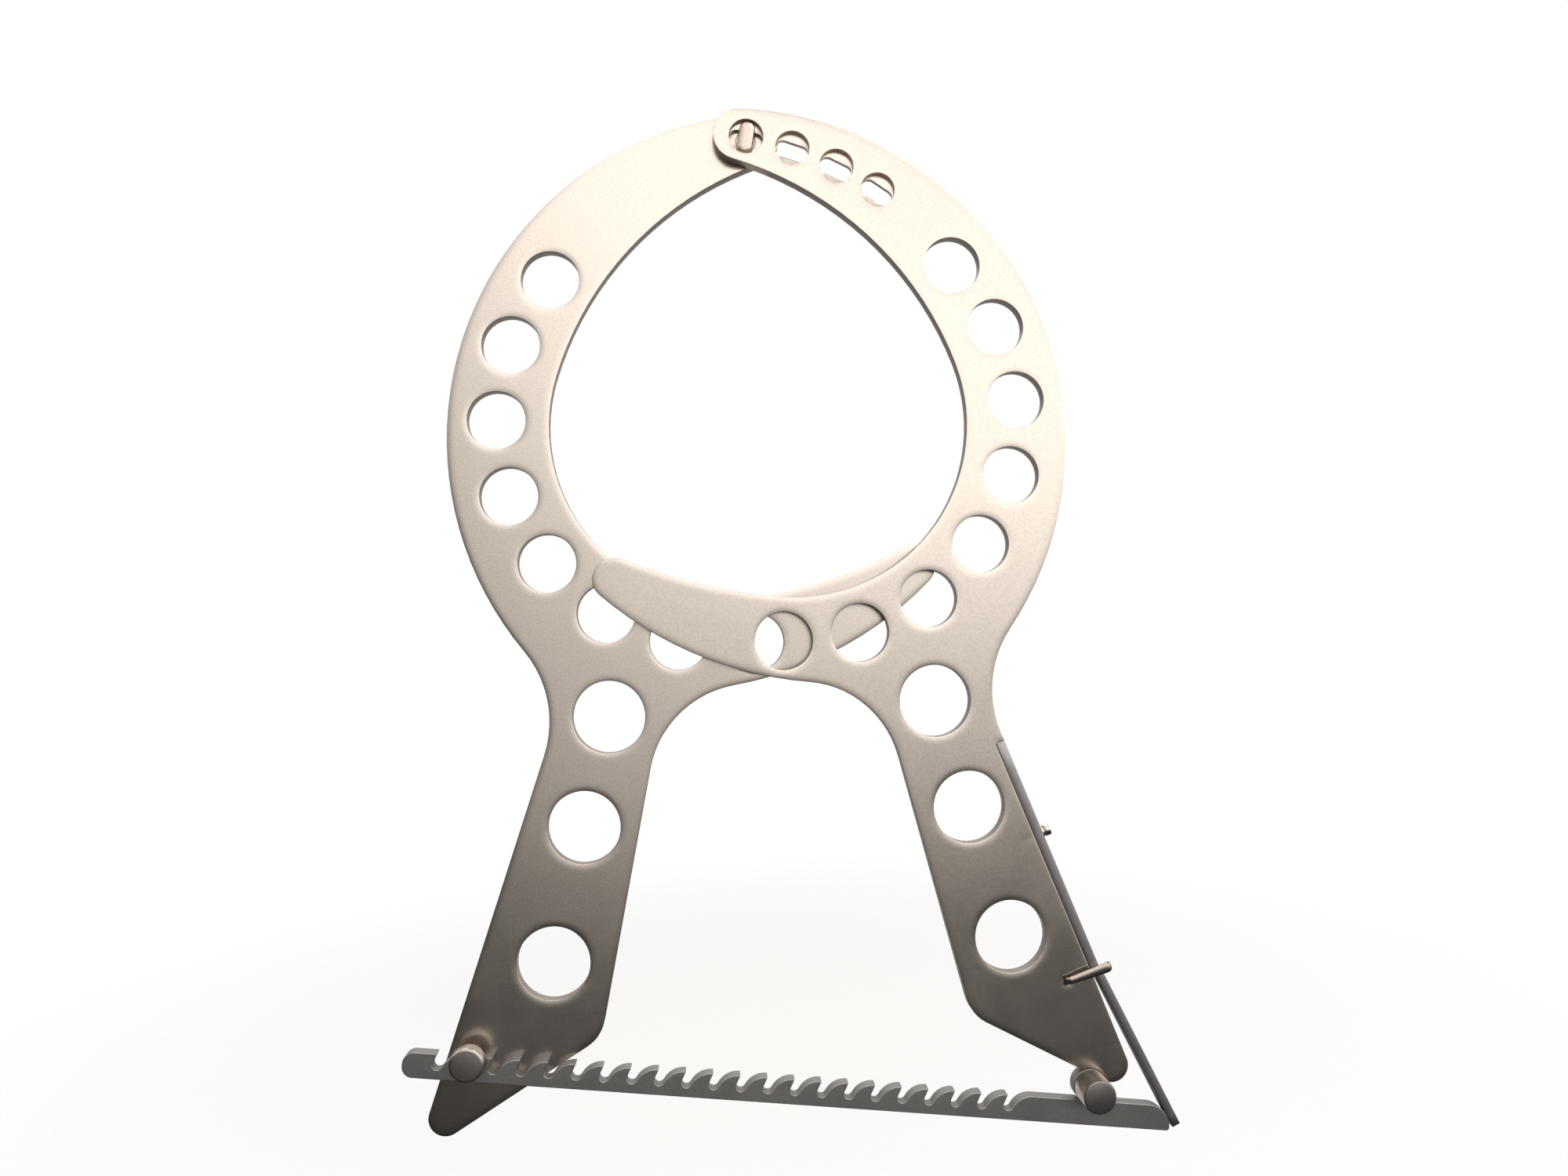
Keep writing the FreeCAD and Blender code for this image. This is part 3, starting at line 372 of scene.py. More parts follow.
def feed(tree, shader, parts):
    """Join the finished parts to the shader."""
    height, normal = parts["height"], parts["normal"]
    values = {"Strength": 1.0, "Distance": MM, "Height": height, "Normal": normal}
    bump = add(tree, "Bump", values)
    tree.links.new(parts["colour"], shader.inputs["Base Color"])
    tree.links.new(parts["roughness"], shader.inputs["Roughness"])
    tree.links.new(bump.outputs[0], shader.inputs["Normal"])


def dress(node, material):
    """Give a solid's own slots a finish."""
    for place in solids[node].material_slots:
        place.material = material


print("steel recipe ready")

# %% [markdown]
# The arms and the bar are cut from plate. Their narrow walls get a duller skin and a darker
# colour, which is painted shade, and a mask for them comes from the normal: on a wall it has
# almost no part along the thickness. A skin of scale is hardly metal to the light, so the walls
# are less metallic.

# %% Walls of the cut pieces
WALL_SPAN = (0.75, 0.45)
WALL_ROUGHER = 0.2
WALL_METAL = 0.3


def shade_and_dull_walls(tree, shader, parts, dark):
    """Painted shade and a duller skin on the walls; returns their mask."""
    normal = add(tree, "TexCoord").outputs["Normal"]
    through = add(tree, "SeparateXYZ", {0: normal}).outputs[1]
    wall = slope(tree, sums(tree, "ABSOLUTE", through), *WALL_SPAN)
    # The darker wall colour is painted shade.
    paint(tree, parts, wall, dark)
    roughen(tree, parts, wall, WALL_ROUGHER)
    tree.links.new(slope(tree, wall, 0.0, 1.0, 1.0, WALL_METAL), shader.inputs["Metallic"])
    return wall


print("walls are rougher by", WALL_ROUGHER)

# %% [markdown]
# Two lines on the front leg are too fine for geometry, so they are painted: painted shadow in
# the gap beside the spring strip, with a painted highlight on the corner of the leg next to it,
# and painted shade in the shallow channel above the strap, with a painted highlight on its lip.
# Each is a band of distances from a line, so its width is a plain number in millimetres. The
# painted shade in a small hollow, where the strap dives into the leg, is a distance from a place.

# %% Marks on the front leg
LEG_LEAN = math.radians(20.0)
down_leg = Vector((math.sin(LEG_LEAN), 0.0, -math.cos(LEG_LEAN)))
outward = Vector((math.cos(LEG_LEAN), 0.0, math.sin(LEG_LEAN)))
shoulder = from_hinge(69.57, -187.28)
CHANNEL_RISE = math.radians(19.0)
along_channel = Vector((math.cos(CHANNEL_RISE), 0.0, math.sin(CHANNEL_RISE)))
over_channel = Vector((-math.sin(CHANNEL_RISE), 0.0, math.cos(CHANNEL_RISE)))
channel_start = from_hinge(83.57, -258.74)
hollow = from_hinge(84.2, -261.1)
STRIP_RUN, GAP, CORNER = (-0.1, 75.5), (-2.98, -2.70), (-3.2, -3.06)
CHANNEL_RUN, CHANNEL_FLOOR, CHANNEL_LIP = (0.0, 8.3), (-1.3, -0.12), (0.0, 0.12)
HOLLOW_RIM, HOLLOW_FLOOR = 1.1, 0.5
SHADOW, SHADOW_SHARE = (0.05, 0.038, 0.03), 0.8
CORNER_LIGHT, LIGHT_SHARE, LIGHT_ROUGHER = (1.0, 0.93, 0.86), 0.55, 0.35


def mark_leg(tree, parts):
    """Painted shadow beside the strip and in the channel and hollow, with painted highlights."""
    front = sums(tree, "LESS_THAN", measured(tree, Vector(), DEPTH_AXIS), FRONT + 0.1)
    strip_run = band(tree, measured(tree, shoulder, down_leg), *STRIP_RUN)
    from_edge = measured(tree, shoulder, outward)
    channel_run = band(tree, measured(tree, channel_start, along_channel), *CHANNEL_RUN)
    from_channel = measured(tree, channel_start, over_channel)

    def lines(beside_strip, beside_channel):
        on_strip = times(tree, band(tree, from_edge, *beside_strip), strip_run)
        on_channel = times(tree, band(tree, from_channel, *beside_channel), channel_run)
        return larger(tree, on_strip, on_channel)

    sideways = sums(tree, "POWER", measured(tree, hollow, along_channel), 2.0)
    upwards = sums(tree, "POWER", measured(tree, hollow, over_channel), 2.0)
    from_hollow = sums(tree, "SQRT", plus(tree, sideways, upwards))
    sunk = slope(tree, from_hollow, HOLLOW_RIM, HOLLOW_FLOOR)
    dark = larger(tree, lines(GAP, CHANNEL_FLOOR), sunk)
    light = times(tree, lines(CORNER, CHANNEL_LIP), times(tree, front, LIGHT_SHARE))
    paint(tree, parts, times(tree, dark, times(tree, front, SHADOW_SHARE)), SHADOW)
    paint(tree, parts, light, CORNER_LIGHT)
    roughen(tree, parts, light, LIGHT_ROUGHER)


print("strip starts at", [round(value, 4) for value in shoulder])

# %% [markdown]
# The top of the front arm has four round recesses in a row, milled with a small end mill, whose
# floors show its rings. Each has rings of its own, and of the four distances the least one
# picks the recess. Their walls, and the end of the arm, get painted light: a colour so much
# lighter than the other walls that they stay brown in the shade.

# %% Marks in the recesses
RECESSES = 4
ROW_RADIUS, ROW_START, ROW_STEP = 103.9, 78.25, 8.0
FLOOR_RADIUS, FLOOR_DEPTH = 5.25, 0.5
FLOOR_SMOOTHER = -0.14
MILL_PITCH, MILL_CREST, MILL_SHARE, MILL_LINE = 1.15, 0.86, 0.4, (0.40, 0.30, 0.22)
RECESS_WALL, RECESS_WALL_LIGHT = (4.9, 5.6), (0.85, 0.70, 0.60)
ARM_END_FAR, ARM_END_NEAR, ARM_END_SHARE = 14.0, 10.0, 0.5


def recess_centre(number):
    """A recess by its number; they stand on an arc that starts at the hinge."""
    first = math.radians(ROW_START)
    angle = math.radians(ROW_START - ROW_STEP * number)
    across = ROW_RADIUS * (math.cos(angle) - math.cos(first))
    up = ROW_RADIUS * (math.sin(angle) - math.sin(first))
    return from_hinge(across, up)


def mark_recesses(tree, parts, wall):
    """Mill rings on the floors of the recesses, and painted light on the walls in them."""
    rows = []
    for number in range(RECESSES):
        values = {"Centre": recess_centre(number), "Pitch": MILL_PITCH}
        rows.append(place_group(tree, cutter_rings, values))
    nearest = rows[0]["Distance"]
    rings = rows[0]["Height"]
    for row in rows[1:]:
        values = {0: sums(tree, "LESS_THAN", row["Distance"], nearest), 2: rings, 3: row["Height"]}
        rings = add(tree, "Mix", values, data_type="FLOAT").outputs[0]
        nearest = sums(tree, "MINIMUM", nearest, row["Distance"])
    depth = measured(tree, Vector(), DEPTH_AXIS)
    sunk = sums(tree, "GREATER_THAN", depth, FRONT + FLOOR_DEPTH)
    on_floor = times(tree, sums(tree, "LESS_THAN", nearest, FLOOR_RADIUS), sunk)
    crest = slope(tree, rings, MILL_CREST, 1.0)
    paint(tree, parts, times(tree, crest, times(tree, on_floor, MILL_SHARE)), MILL_LINE)
    roughen(tree, parts, on_floor, FLOOR_SMOOTHER)
    arm_end = slope(tree, rows[0]["Distance"], ARM_END_FAR, ARM_END_NEAR, 0.0, ARM_END_SHARE)
    # Painted light: the recess walls and the end of the arm are lighter than the other walls.
    lit_walls = larger(tree, band(tree, nearest, *RECESS_WALL), arm_end)
    paint(tree, parts, times(tree, wall, lit_walls), RECESS_WALL_LIGHT)


print("last recess at", [round(value, 4) for value in recess_centre(RECESSES - 1)])

# %% [markdown]
# Now the two arms can be dressed. They share the blasted finish, and only the front one has
# the marks of the strip, the strap and the recesses.

# %% Finish of the two arms
SATIN = (0.70, 0.625, 0.55)
ARM_WALL_SHADE = (0.30, 0.26, 0.235)
ARM_ROUGHNESS = 0.26


def arm_finish(name, is_front):
    material, tree, shader, parts = steel(name, SATIN, ARM_ROUGHNESS, glint=0.2, worn=0.16)
    wall = shade_and_dull_walls(tree, shader, parts, ARM_WALL_SHADE)
    if is_front:
        mark_leg(tree, parts)
        mark_recesses(tree, parts, wall)
    feed(tree, shader, parts)
    return material


dress("front_plate", arm_finish("front_arm_satin", True))
dress("rear_plate", arm_finish("rear_arm_satin", False))
print("arms dressed in", SATIN)

# %% [markdown]
# The toothed bar is the same steel, ground flat along its length and a little greyer. Its teeth
# were cut with a formed mill, and all its edges get a stronger painted highlight.

# %% Finish of the bar
GROUND = (0.585, 0.56, 0.54)
BAR_WALL_SHADE = (0.26, 0.25, 0.24)
material, tree, shader, parts = steel(
    "bar_satin", GROUND, roughness=0.36, grain=0.25, edge=0.25, glint=0.45,
)
shade_and_dull_walls(tree, shader, parts, BAR_WALL_SHADE)
feed(tree, shader, parts)
dress("ratchet_bar", material)
print("bar dressed in", GROUND)

# %% [markdown]
# Turned pieces shine in rings round their own lathe centre, from one recipe for all of them.
# Where a rim is knurled, the distance from the centre also tells the crests of the ridges,
# which are rubbed bright and carry a painted highlight, from the grooves between them, which
# get painted shade.

# %% Recipe for a turned finish
LATHE_PITCH = 0.35
TURNED = (0.58, 0.53, 0.49)
KNURL_DEPTH = 0.3
RUBBED_CREST_HIGHLIGHT, CREST_SHARE = (0.80, 0.73, 0.68), 0.7
GROOVE_SHADE, GROOVE_SHARE = (0.08, 0.07, 0.065), 0.85


def shade_knurl(tree, parts, distance, rim):
    """Painted highlight on the crests and painted shade in the grooves of a knurled rim."""
    crest = slope(tree, distance, rim - KNURL_DEPTH / 2.0, rim - 0.02, 0.0, CREST_SHARE)
    groove = band(tree, distance, rim - 0.32, rim - 0.22)
    paint(tree, parts, crest, RUBBED_CREST_HIGHLIGHT)
    paint(tree, parts, times(tree, groove, GROOVE_SHARE), GROOVE_SHADE)


def turned_finish(
    name, centre, colour=TURNED, roughness=0.33, ring_height=0.0015, edge=0.15, rim=None,
):
    """Lathe-turned steel; a ring height of nothing leaves it smooth."""
    material, tree, shader, parts = steel(
        name, colour, roughness, grain=0.2, depth=0.001, edge=edge, glint=0.5,
    )
    rings = place_group(tree, cutter_rings, {"Centre": centre, "Pitch": LATHE_PITCH})
    parts["height"] = plus(tree, parts["height"], times(tree, rings["Height"], ring_height))
    if rim:
        shade_knurl(tree, parts, rings["Distance"], rim)
    feed(tree, shader, parts)
    return material


print("turned rings are", LATHE_PITCH, "mm apart")

# %% [markdown]
# A piece that is made new here stands for its solid, in the same place. The helper closes the
# work: it points the faces outwards, keeps edges sharper than 35 degrees crisp, gives the
# finish and the body that the piece moves with, and hides the solid that it stands for.

# %% Finishing a new piece
CRISP_FROM = math.radians(35.0)


def finish_piece(work, name, material, body, node):
    """Turn the work into a piece of the model; with body None it is attached to no body."""
    bmesh.ops.recalc_face_normals(work, faces=work.faces)
    unclosed = sum(len(edge.link_faces) != 2 for edge in work.edges)
    mesh = bpy.data.meshes.new(name)
    work.to_mesh(mesh)
    work.free()
    mesh.materials.append(material)
    mesh.shade_smooth()
    mesh.set_sharp_from_angle(angle=CRISP_FROM)
    piece = bpy.data.objects.new(name, mesh)
    bpy.context.scene.collection.objects.link(piece)
    if body:
        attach(piece, body)
    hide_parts(node)
    faces = len(mesh.polygons)
    print(name, "has", faces, "faces and", unclosed, "edges that don't join two of them")
    return piece


print("edges stay crisp from", round(math.degrees(CRISP_FROM)), "degrees")

# %% [markdown]
# Three ways of shaping serve all the new pieces. A half section is turned about a line, as on
# a lathe. A disc that faces the viewer is where a head starts. And a face is pulled out, once
# or along a path of lengths and turns, as wire is drawn.

# %% Helpers for shaping
SAME_POINT = 1e-7


def turn_profile(work, profile, centre, steps=96):
    """Turn a half section, given as radii and depths, about a line through a place."""
    points = []
    for radius, depth in profile:
        points.append(work.verts.new(centre + Vector((radius, depth, 0.0)) * MM))
    edges = [work.edges.new(pair) for pair in zip(points, points[1:])]
    bmesh.ops.spin(
        work, geom=points + edges, cent=centre, axis=DEPTH_AXIS, dvec=(0.0, 0.0, 0.0),
        angle=2.0 * math.pi, steps=steps, use_merge=True,
    )
    bmesh.ops.remove_doubles(work, verts=work.verts, dist=SAME_POINT)


def front_disc(work, centre, depth, radius, segments, lean=0.0, turn=0.0):
    """A filled circle that faces the viewer; turn moves its points round, lean tips it over."""
    place = Matrix.Translation(centre + Vector((0.0, depth, 0.0)) * MM)
    tipped = Matrix.Rotation(lean, 4, "Y") @ Matrix.Rotation(math.radians(90.0), 4, "X")
    points_turned = Matrix.Rotation(math.radians(turn), 4, "Z")
    bmesh.ops.create_circle(
        work, cap_ends=True, segments=segments, radius=radius * MM,
        matrix=place @ tipped @ points_turned,
    )
    return max(work.faces, key=lambda face: len(face.verts))


def pull(work, face, distance, first=False):
    """Draw a face out; the old face would stay inside the piece, so all but the first one go."""
    made = bmesh.ops.extrude_face_region(work, geom=[face])
    if face.is_valid and not first:
        bmesh.ops.delete(work, geom=[face], context="FACES_ONLY")
    face = next(item for item in made["geom"] if isinstance(item, bmesh.types.BMFace))
    bmesh.ops.translate(work, vec=distance * MM, verts=face.verts)
    return face


def draw_out(work, face, heading, axis, steps):
    """Draw a face out along a path of lengths and turns."""
    for number, (length, turn) in enumerate(steps):
        face = pull(work, face, heading * length, first=number == 0)
        swing = Matrix.Rotation(math.radians(turn), 3, axis)
        bmesh.ops.rotate(work, cent=face.calc_center_median(), matrix=swing, verts=face.verts)
        heading = swing @ heading


print("shaping helpers ready")

# %% [markdown]
# The catch stud is the round button on the left leg, over the bar. A turned piece is one half
# section spun about its line, so the whole of it is in the list below: a flat face with a
# softened rim, the side, the thin neck in the teeth, and the rivet in the leg.

# %% Catch stud
CATCH = Vector((-29.89, 0.0, -44.79)) * MM
catch_section = [
    (0.0, -8.15), (4.1, -8.15), (4.55, -8.10), (4.85, -7.92), (5.0, -7.6), (5.0, -4.4),
    (4.8, -4.15), (1.65, -4.15), (1.65, 0.05), (2.5, 0.05), (2.5, 3.05), (3.5, 4.05), (0.0, 4.05),
]
work = bmesh.new()
turn_profile(work, catch_section, CATCH)
material = turned_finish("catch_stud_turned", CATCH)
finish_piece(work, "catch_stud_turned_piece", material, "rear_arm", "catch_stud")

# %% [markdown]
# The hinge stud ends in a T head: a short bar with round ends, that only passes the plate where
# the slot lets it, and is then turned upright. It starts as a circle whose two halves are moved
# apart. Drawing its face forward, each time a little smaller, domes it.

# %% Hinge stud
HEAD_LEAN = math.radians(11.75)
HEAD_RADIUS, HEAD_SPREAD, HEAD_FOOT, HEAD_SIDE = 2.35, 2.65, -1.65, 1.35
DOME = ((0.3, 0.97), (0.22, 0.9), (0.16, 0.78), (0.1, 0.6), (0.05, 0.35))
STUD_STEEL = (0.68, 0.58, 0.505)
head_up = Vector((math.sin(HEAD_LEAN), 0.0, math.cos(HEAD_LEAN)))
stud_section = [
    (0.0, HEAD_FOOT), (2.43, HEAD_FOOT), (2.43, 0.05), (3.0, 0.05), (3.0, 3.05), (4.0, 4.05),
    (0.0, 4.05),
]
work = bmesh.new()
turn_profile(work, stud_section, HINGE, 64)
face = front_disc(work, HINGE, HEAD_FOOT, HEAD_RADIUS, 48, lean=HEAD_LEAN, turn=3.75)
for side in (1.0, -1.0):
    half = [point for point in face.verts if side * (point.co - HINGE).dot(head_up) > 0.0]
    bmesh.ops.translate(work, vec=head_up * side * HEAD_SPREAD * MM, verts=half)
print("head outline has", len(face.verts), "points")
face = pull(work, face, DEPTH_AXIS * -HEAD_SIDE, first=True)
for rise, share in DOME:
    face = pull(work, face, DEPTH_AXIS * -rise)
    for point in face.verts:
        offset = point.co - HINGE
        along = max(-HEAD_SPREAD * MM, min(HEAD_SPREAD * MM, offset.dot(head_up)))
        spine = HINGE + head_up * along + Vector((0.0, offset.y, 0.0))
        point.co = spine + (point.co - spine) * share
material = turned_finish("hinge_stud_polished", HINGE, STUD_STEEL, 0.36)
finish_piece(work, "hinge_stud_domed", material, "rear_arm", "hinge_stud")

# %% [markdown]
# The thumb screw's head is knurled: sixty-four fine straight ridges for the fingers. The solid
# has coarser ones. Here the rim is a circle of 128 points, and every other point is pulled in,
# which makes all the ridges at once when the face is drawn forward. Which points are crests is
# read from their angle, because their order in a face may change when it is drawn out.

# %% Thumb screw
RIDGES = 64
RIM = 5.0
THUMB_STEEL = (0.43, 0.40, 0.385)
KNURL_STAGES = (
    (0.25, RIM, RIM - KNURL_DEPTH), (7.6, RIM, RIM - KNURL_DEPTH), (0.25, RIM - 0.08, RIM - 0.32),
    (0.14, 4.62, 4.62), (0.04, 4.45, 4.45),
)


def is_crest(point):
    """Whether a point of the rim is the crest of a ridge."""
    offset = point.co - BAR_PIVOT
    return round(math.atan2(offset.z, offset.x) * RIDGES / math.pi) % 2 == 0


def scale_rim(work, points, radius):
    """Bring some points of the rim to a radius."""
    offset = points[0].co - BAR_PIVOT
    share = radius * MM / math.hypot(offset.x, offset.z)
    about = Matrix.Translation(-BAR_PIVOT)
    bmesh.ops.scale(work, vec=(share, 1.0, share), space=about, verts=points)


shank_section = [(0.0, -4.6), (4.3, -4.6), (4.3, -4.1), (1.5, -4.1), (1.5, -0.1), (0.0, -0.1)]
work = bmesh.new()
turn_profile(work, shank_section, BAR_PIVOT, 48)
face = front_disc(work, BAR_PIVOT, -4.5, 4.5, 2 * RIDGES)
for number, (rise, crest, root) in enumerate(KNURL_STAGES):
    face = pull(work, face, DEPTH_AXIS * -rise, first=number == 0)
    scale_rim(work, [point for point in face.verts if is_crest(point)], crest)
    scale_rim(work, [point for point in face.verts if not is_crest(point)], root)
material = turned_finish(
    "thumb_screw_turned", BAR_PIVOT, THUMB_STEEL, roughness=0.34, edge=0.03, rim=RIM,
)
finish_piece(work, "thumb_screw_knurled", material, "thumb", "thumb_screw")

# %% [markdown]
# The leaf spring is a flat strip. It lies in a rebate down the outside of the leg, is bent a
# little where the strap holds it, and its free end presses the round nose of the bar. It is
# drawn out from its top end in short lengths, shortest near the strap, because only a strip
# with many sections can bend when the legs close. The stretch in the rebate is a little
# thicker than the free end. All its outer edges are then broken with a bevel.

# %% Shape of the leaf spring
STRIP_THICKNESS = 2.15
THICKER_INSIDE, THICKER_OUTSIDE = 0.6, 0.42
STRIP_FRONT, STRIP_BACK = -4.04, 0.02
STRIP_BEND = -4.2
HELD_TO, FREE_FROM = 74.6, 76.0
STRIP_EDGE = 0.18
work = bmesh.new()
corners = []
for inset, depth in (
    (0.0, STRIP_FRONT), (0.0, STRIP_BACK),
    (STRIP_THICKNESS, STRIP_BACK), (STRIP_THICKNESS, STRIP_FRONT),
):
    place = shoulder - outward * inset * MM + Vector((0.0, depth, 0.0)) * MM
    corners.append(work.verts.new(place))
held_path = [(9.3, 0.0)] * 7 + [(3.1, 0.0)] * 3
free_path = [(1.62, 0.0)] * 8 + [(3.24, 0.0)] * 12
strip_path = held_path + [(0.9, STRIP_BEND)] + free_path
draw_out(work, work.faces.new(corners), down_leg, DEPTH_AXIS, strip_path)


def down(point):
    """How far a point of the strip lies down the leg, in millimetres."""
    return (point.co - shoulder).dot(down_leg) / MM


held = [point for point in work.verts if down(point) < HELD_TO]
inner = [point for point in held if (point.co - shoulder).dot(outward) < -1.0 * MM]
bmesh.ops.translate(work, vec=-outward * THICKER_INSIDE * MM, verts=inner)
free_out = Matrix.Rotation(math.radians(STRIP_BEND), 3, "Y") @ outward
free = [point for point in work.verts if down(point) > FREE_FROM]
middle = sum((point.co.dot(free_out) for point in free), 0.0) / len(free)
outer = [point for point in free if point.co.dot(free_out) > middle]
bmesh.ops.translate(work, vec=free_out * THICKER_OUTSIDE * MM, verts=outer)
outer_edges = [edge for edge in work.edges if edge.calc_face_angle(0.0) > math.radians(60.0)]
bmesh.ops.bevel(
    work, geom=outer_edges, offset=STRIP_EDGE * MM, offset_type="OFFSET", segments=2,
    profile=0.5, affect="EDGES", material=-1, clamp_overlap=True,
)
print("strip has", len(held_path) + 1 + len(free_path), "sections")

# %% [markdown]
# The strip is ground spring steel, darker on the two broad sides than on its edges. It belongs
# to no one body.

# %% Finish of the leaf spring
STRIP_STEEL = (0.41, 0.385, 0.385)
BROAD_SIDE, BROAD_SPAN, BROAD_SHARE = (0.17, 0.165, 0.165), (0.45, 0.75), 0.8
material, tree, shader, parts = steel(
    "spring_strip", STRIP_STEEL, roughness=0.38, grain=0.2, scratched=0.6,
)
normal = add(tree, "TexCoord").outputs["Normal"]
sideways = sums(tree, "ABSOLUTE", vectors(tree, "DOT_PRODUCT", normal, outward))
paint(tree, parts, slope(tree, sideways, *BROAD_SPAN, 0.0, BROAD_SHARE), BROAD_SIDE)
feed(tree, shader, parts)
leaf = finish_piece(work, "leaf_spring_strip", material, None, "leaf_spring")
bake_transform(leaf)

# %% [markdown]
# A small slotted screw fastens the strip to the edge of the leg. It is turned like the studs,
# lying on its side: the half section is spun about the depth axis and then laid over. The head
# is two half moons, because that leaves the slot open between them.

# %% Spring screw
SCREW_DOWN, SCREW_DEPTH = 30.35, -2.0
HEAD_TOP, HEAD_DISC = -1.9, 1.8
SLOT_HALF, SLOT_DEPTH = 0.28, 0.6
SCREW_STEEL = (0.72, 0.66, 0.60)
screw_section = [
    (0.0, 6.4), (0.75, 5.9), (0.75, 0.0), (1.8, 0.0), (1.8, -0.4), (1.35, -0.5), (1.35, -0.75),
    (1.72, -0.85), (HEAD_DISC, -1.0), (HEAD_DISC, HEAD_TOP), (0.0, HEAD_TOP),
]
work = bmesh.new()
turn_profile(work, screw_section, Vector(), 48)
disc = front_disc(work, Vector(), HEAD_TOP, HEAD_DISC, 48, turn=3.75)
for side in (1.0, -1.0):
    cut = bmesh.ops.bisect_plane(
        work, geom=[disc, *disc.edges, *disc.verts],
        plane_co=(0.0, 0.0, side * SLOT_HALF * MM), plane_no=(0.0, 0.0, 1.0),
    )
    halves = [item for item in cut["geom"] if isinstance(item, bmesh.types.BMFace)]
    moon = max(halves, key=lambda item: side * item.calc_center_median().z)
    disc = next(item for item in halves if item is not moon)
    made = bmesh.ops.extrude_face_region(work, geom=[moon], use_keep_orig=True)
    top = next(item for item in made["geom"] if isinstance(item, bmesh.types.BMFace))
    bmesh.ops.translate(work, vec=DEPTH_AXIS * -SLOT_DEPTH * MM, verts=top.verts)
bmesh.ops.delete(work, geom=[disc], context="FACES")
laid_over = (-DEPTH_AXIS).rotation_difference(outward).to_matrix()
bmesh.ops.rotate(work, cent=Vector(), matrix=laid_over, verts=work.verts)
seat = shoulder + down_leg * SCREW_DOWN * MM + DEPTH_AXIS * SCREW_DEPTH * MM
bmesh.ops.translate(work, vec=seat, verts=work.verts)
material = turned_finish(
    "spring_screw_bright", from_hinge(80.0, -215.8), SCREW_STEEL, roughness=0.25, ring_height=0.0,
)
finish_piece(
    work, "spring_screw_slotted", material, "front_arm", "spring_screw",
)

# %% [markdown]
# The strap that holds the strip is a short length of flattened wire. Its left end dives into the
# leg, and its right end closes round the strip. A circle whose halves are moved apart, drawn out
# along that path with its turns in small steps, gives the smooth bends that bright wire has.
# It gets wider from left to right, as if hammered flat there, and narrower again in the hook.

# %% Strap
STRAP_RISE = math.radians(15.6)
along_strap = Vector((math.cos(STRAP_RISE), 0.0, math.sin(STRAP_RISE)))
across_strap = Vector((-math.sin(STRAP_RISE), 0.0, math.cos(STRAP_RISE)))
WIRE_RADIUS, WIRE_SPREAD = 0.72, 0.42
NARROWER_START, WIDENING, WIDEST_AT = 0.03, 0.035, 11.0
HOOK_FROM, HOOK_FRONT, HOOK_NARROWING = 10.0, -2.85, 0.3
STRAP_STEEL = (0.49, 0.435, 0.385)
start = from_hinge(83.95, -260.5, -1.9) + along_strap * 0.75 * MM
section = Matrix((along_strap, -across_strap, -DEPTH_AXIS)).transposed().to_4x4()
work = bmesh.new()
bmesh.ops.create_circle(work, cap_ends=True, segments=24, radius=WIRE_RADIUS * MM)
for side in (1.0, -1.0):
    half = [point for point in work.verts if side * point.co.y > 1e-6]
    bmesh.ops.translate(work, vec=(0.0, side * WIRE_SPREAD * MM, 0.0), verts=half)
bmesh.ops.transform(work, matrix=Matrix.Translation(start) @ section, verts=work.verts)
quarter_turn = [(0.30, 15.0)] * 6
strap_path = [(1.70, 0.0)] + quarter_turn + [(1.42, 0.0)] * 8 + quarter_turn + [(0.4, 0.0)]
draw_out(work, work.faces[:][0], -DEPTH_AXIS, across_strap, strap_path)
for point in work.verts:
    offset = point.co - start
    along = offset.dot(along_strap) / MM
    wider = WIDENING * min(along, WIDEST_AT) - NARROWER_START
    if along > HOOK_FROM:
        wider -= HOOK_NARROWING * max(0.0, offset.y / MM - HOOK_FRONT)
    point.co += across_strap * offset.dot(across_strap) * wider
material = turned_finish("strap_polished", start, STRAP_STEEL, roughness=0.27, ring_height=0.0)
finish_piece(work, "strap_bent", material, "front_arm", "spring_keeper")

# %% [markdown]
# Satin steel shows its surroundings as soft shade, so the room is half of its look. Above the
# viewer it is bright, most of all a little over eye level, and towards the floor it is dark. It
# is also brighter on the right, and together this gives the arms their long fade. One number,
# the level, says how high each direction counts, and a ramp turns it into a shade. Most of the
# shades and of the lean's numbers are a scratch program's fit to tones read off the photograph,
# rounded, and only a few of them were then changed by hand.

# %% Shades of the room
SIDE_LIMIT = 0.36
SIDE_LEAN, LEAN_WITH_HEIGHT, LEAN_WITH_SIDE = 0.417, 2.0, 0.956
LEVEL_SPAN = (-0.6, 1.2)
DARKEST, DARK_END = (0.012, 0.012, 0.013, 1.0), 0.10
CEILING = (0.25, 0.25, 0.25, 1.0)
SHADES = (
    (0.195, 0.012), (0.244, 0.36), (0.289, 0.36), (0.333, 0.45), (0.378, 0.68), (0.422, 0.89),
    (0.478, 1.0), (0.544, 0.98), (0.639, 0.87), (0.778, 0.57),
)
WARM_GREEN, WARM_BLUE = 0.985, 0.965
ROOM_BRIGHTNESS = 1.88
world = bpy.data.worlds.new("studio")
bpy.context.scene.world = world
world.use_nodes = True
tree = world.node_tree
direction = vectors(tree, "NORMALIZE", own_place(tree))
right, back, height = add(tree, "SeparateXYZ", {0: direction}).outputs
right = add(tree, "Clamp", {0: right, 1: -SIDE_LIMIT, 2: SIDE_LIMIT}).outputs[0]
lean = plus(tree, SIDE_LEAN, times(tree, height, LEAN_WITH_HEIGHT))
lean = sums(tree, "SUBTRACT", lean, times(tree, right, LEAN_WITH_SIDE))
level = plus(tree, height, times(tree, right, lean))
values = {0: level, 1: LEVEL_SPAN[0], 2: LEVEL_SPAN[1]}
shades = add(tree, "ValToRGB", {0: add(tree, "MapRange", values).outputs[0]})
ramp = shades.color_ramp
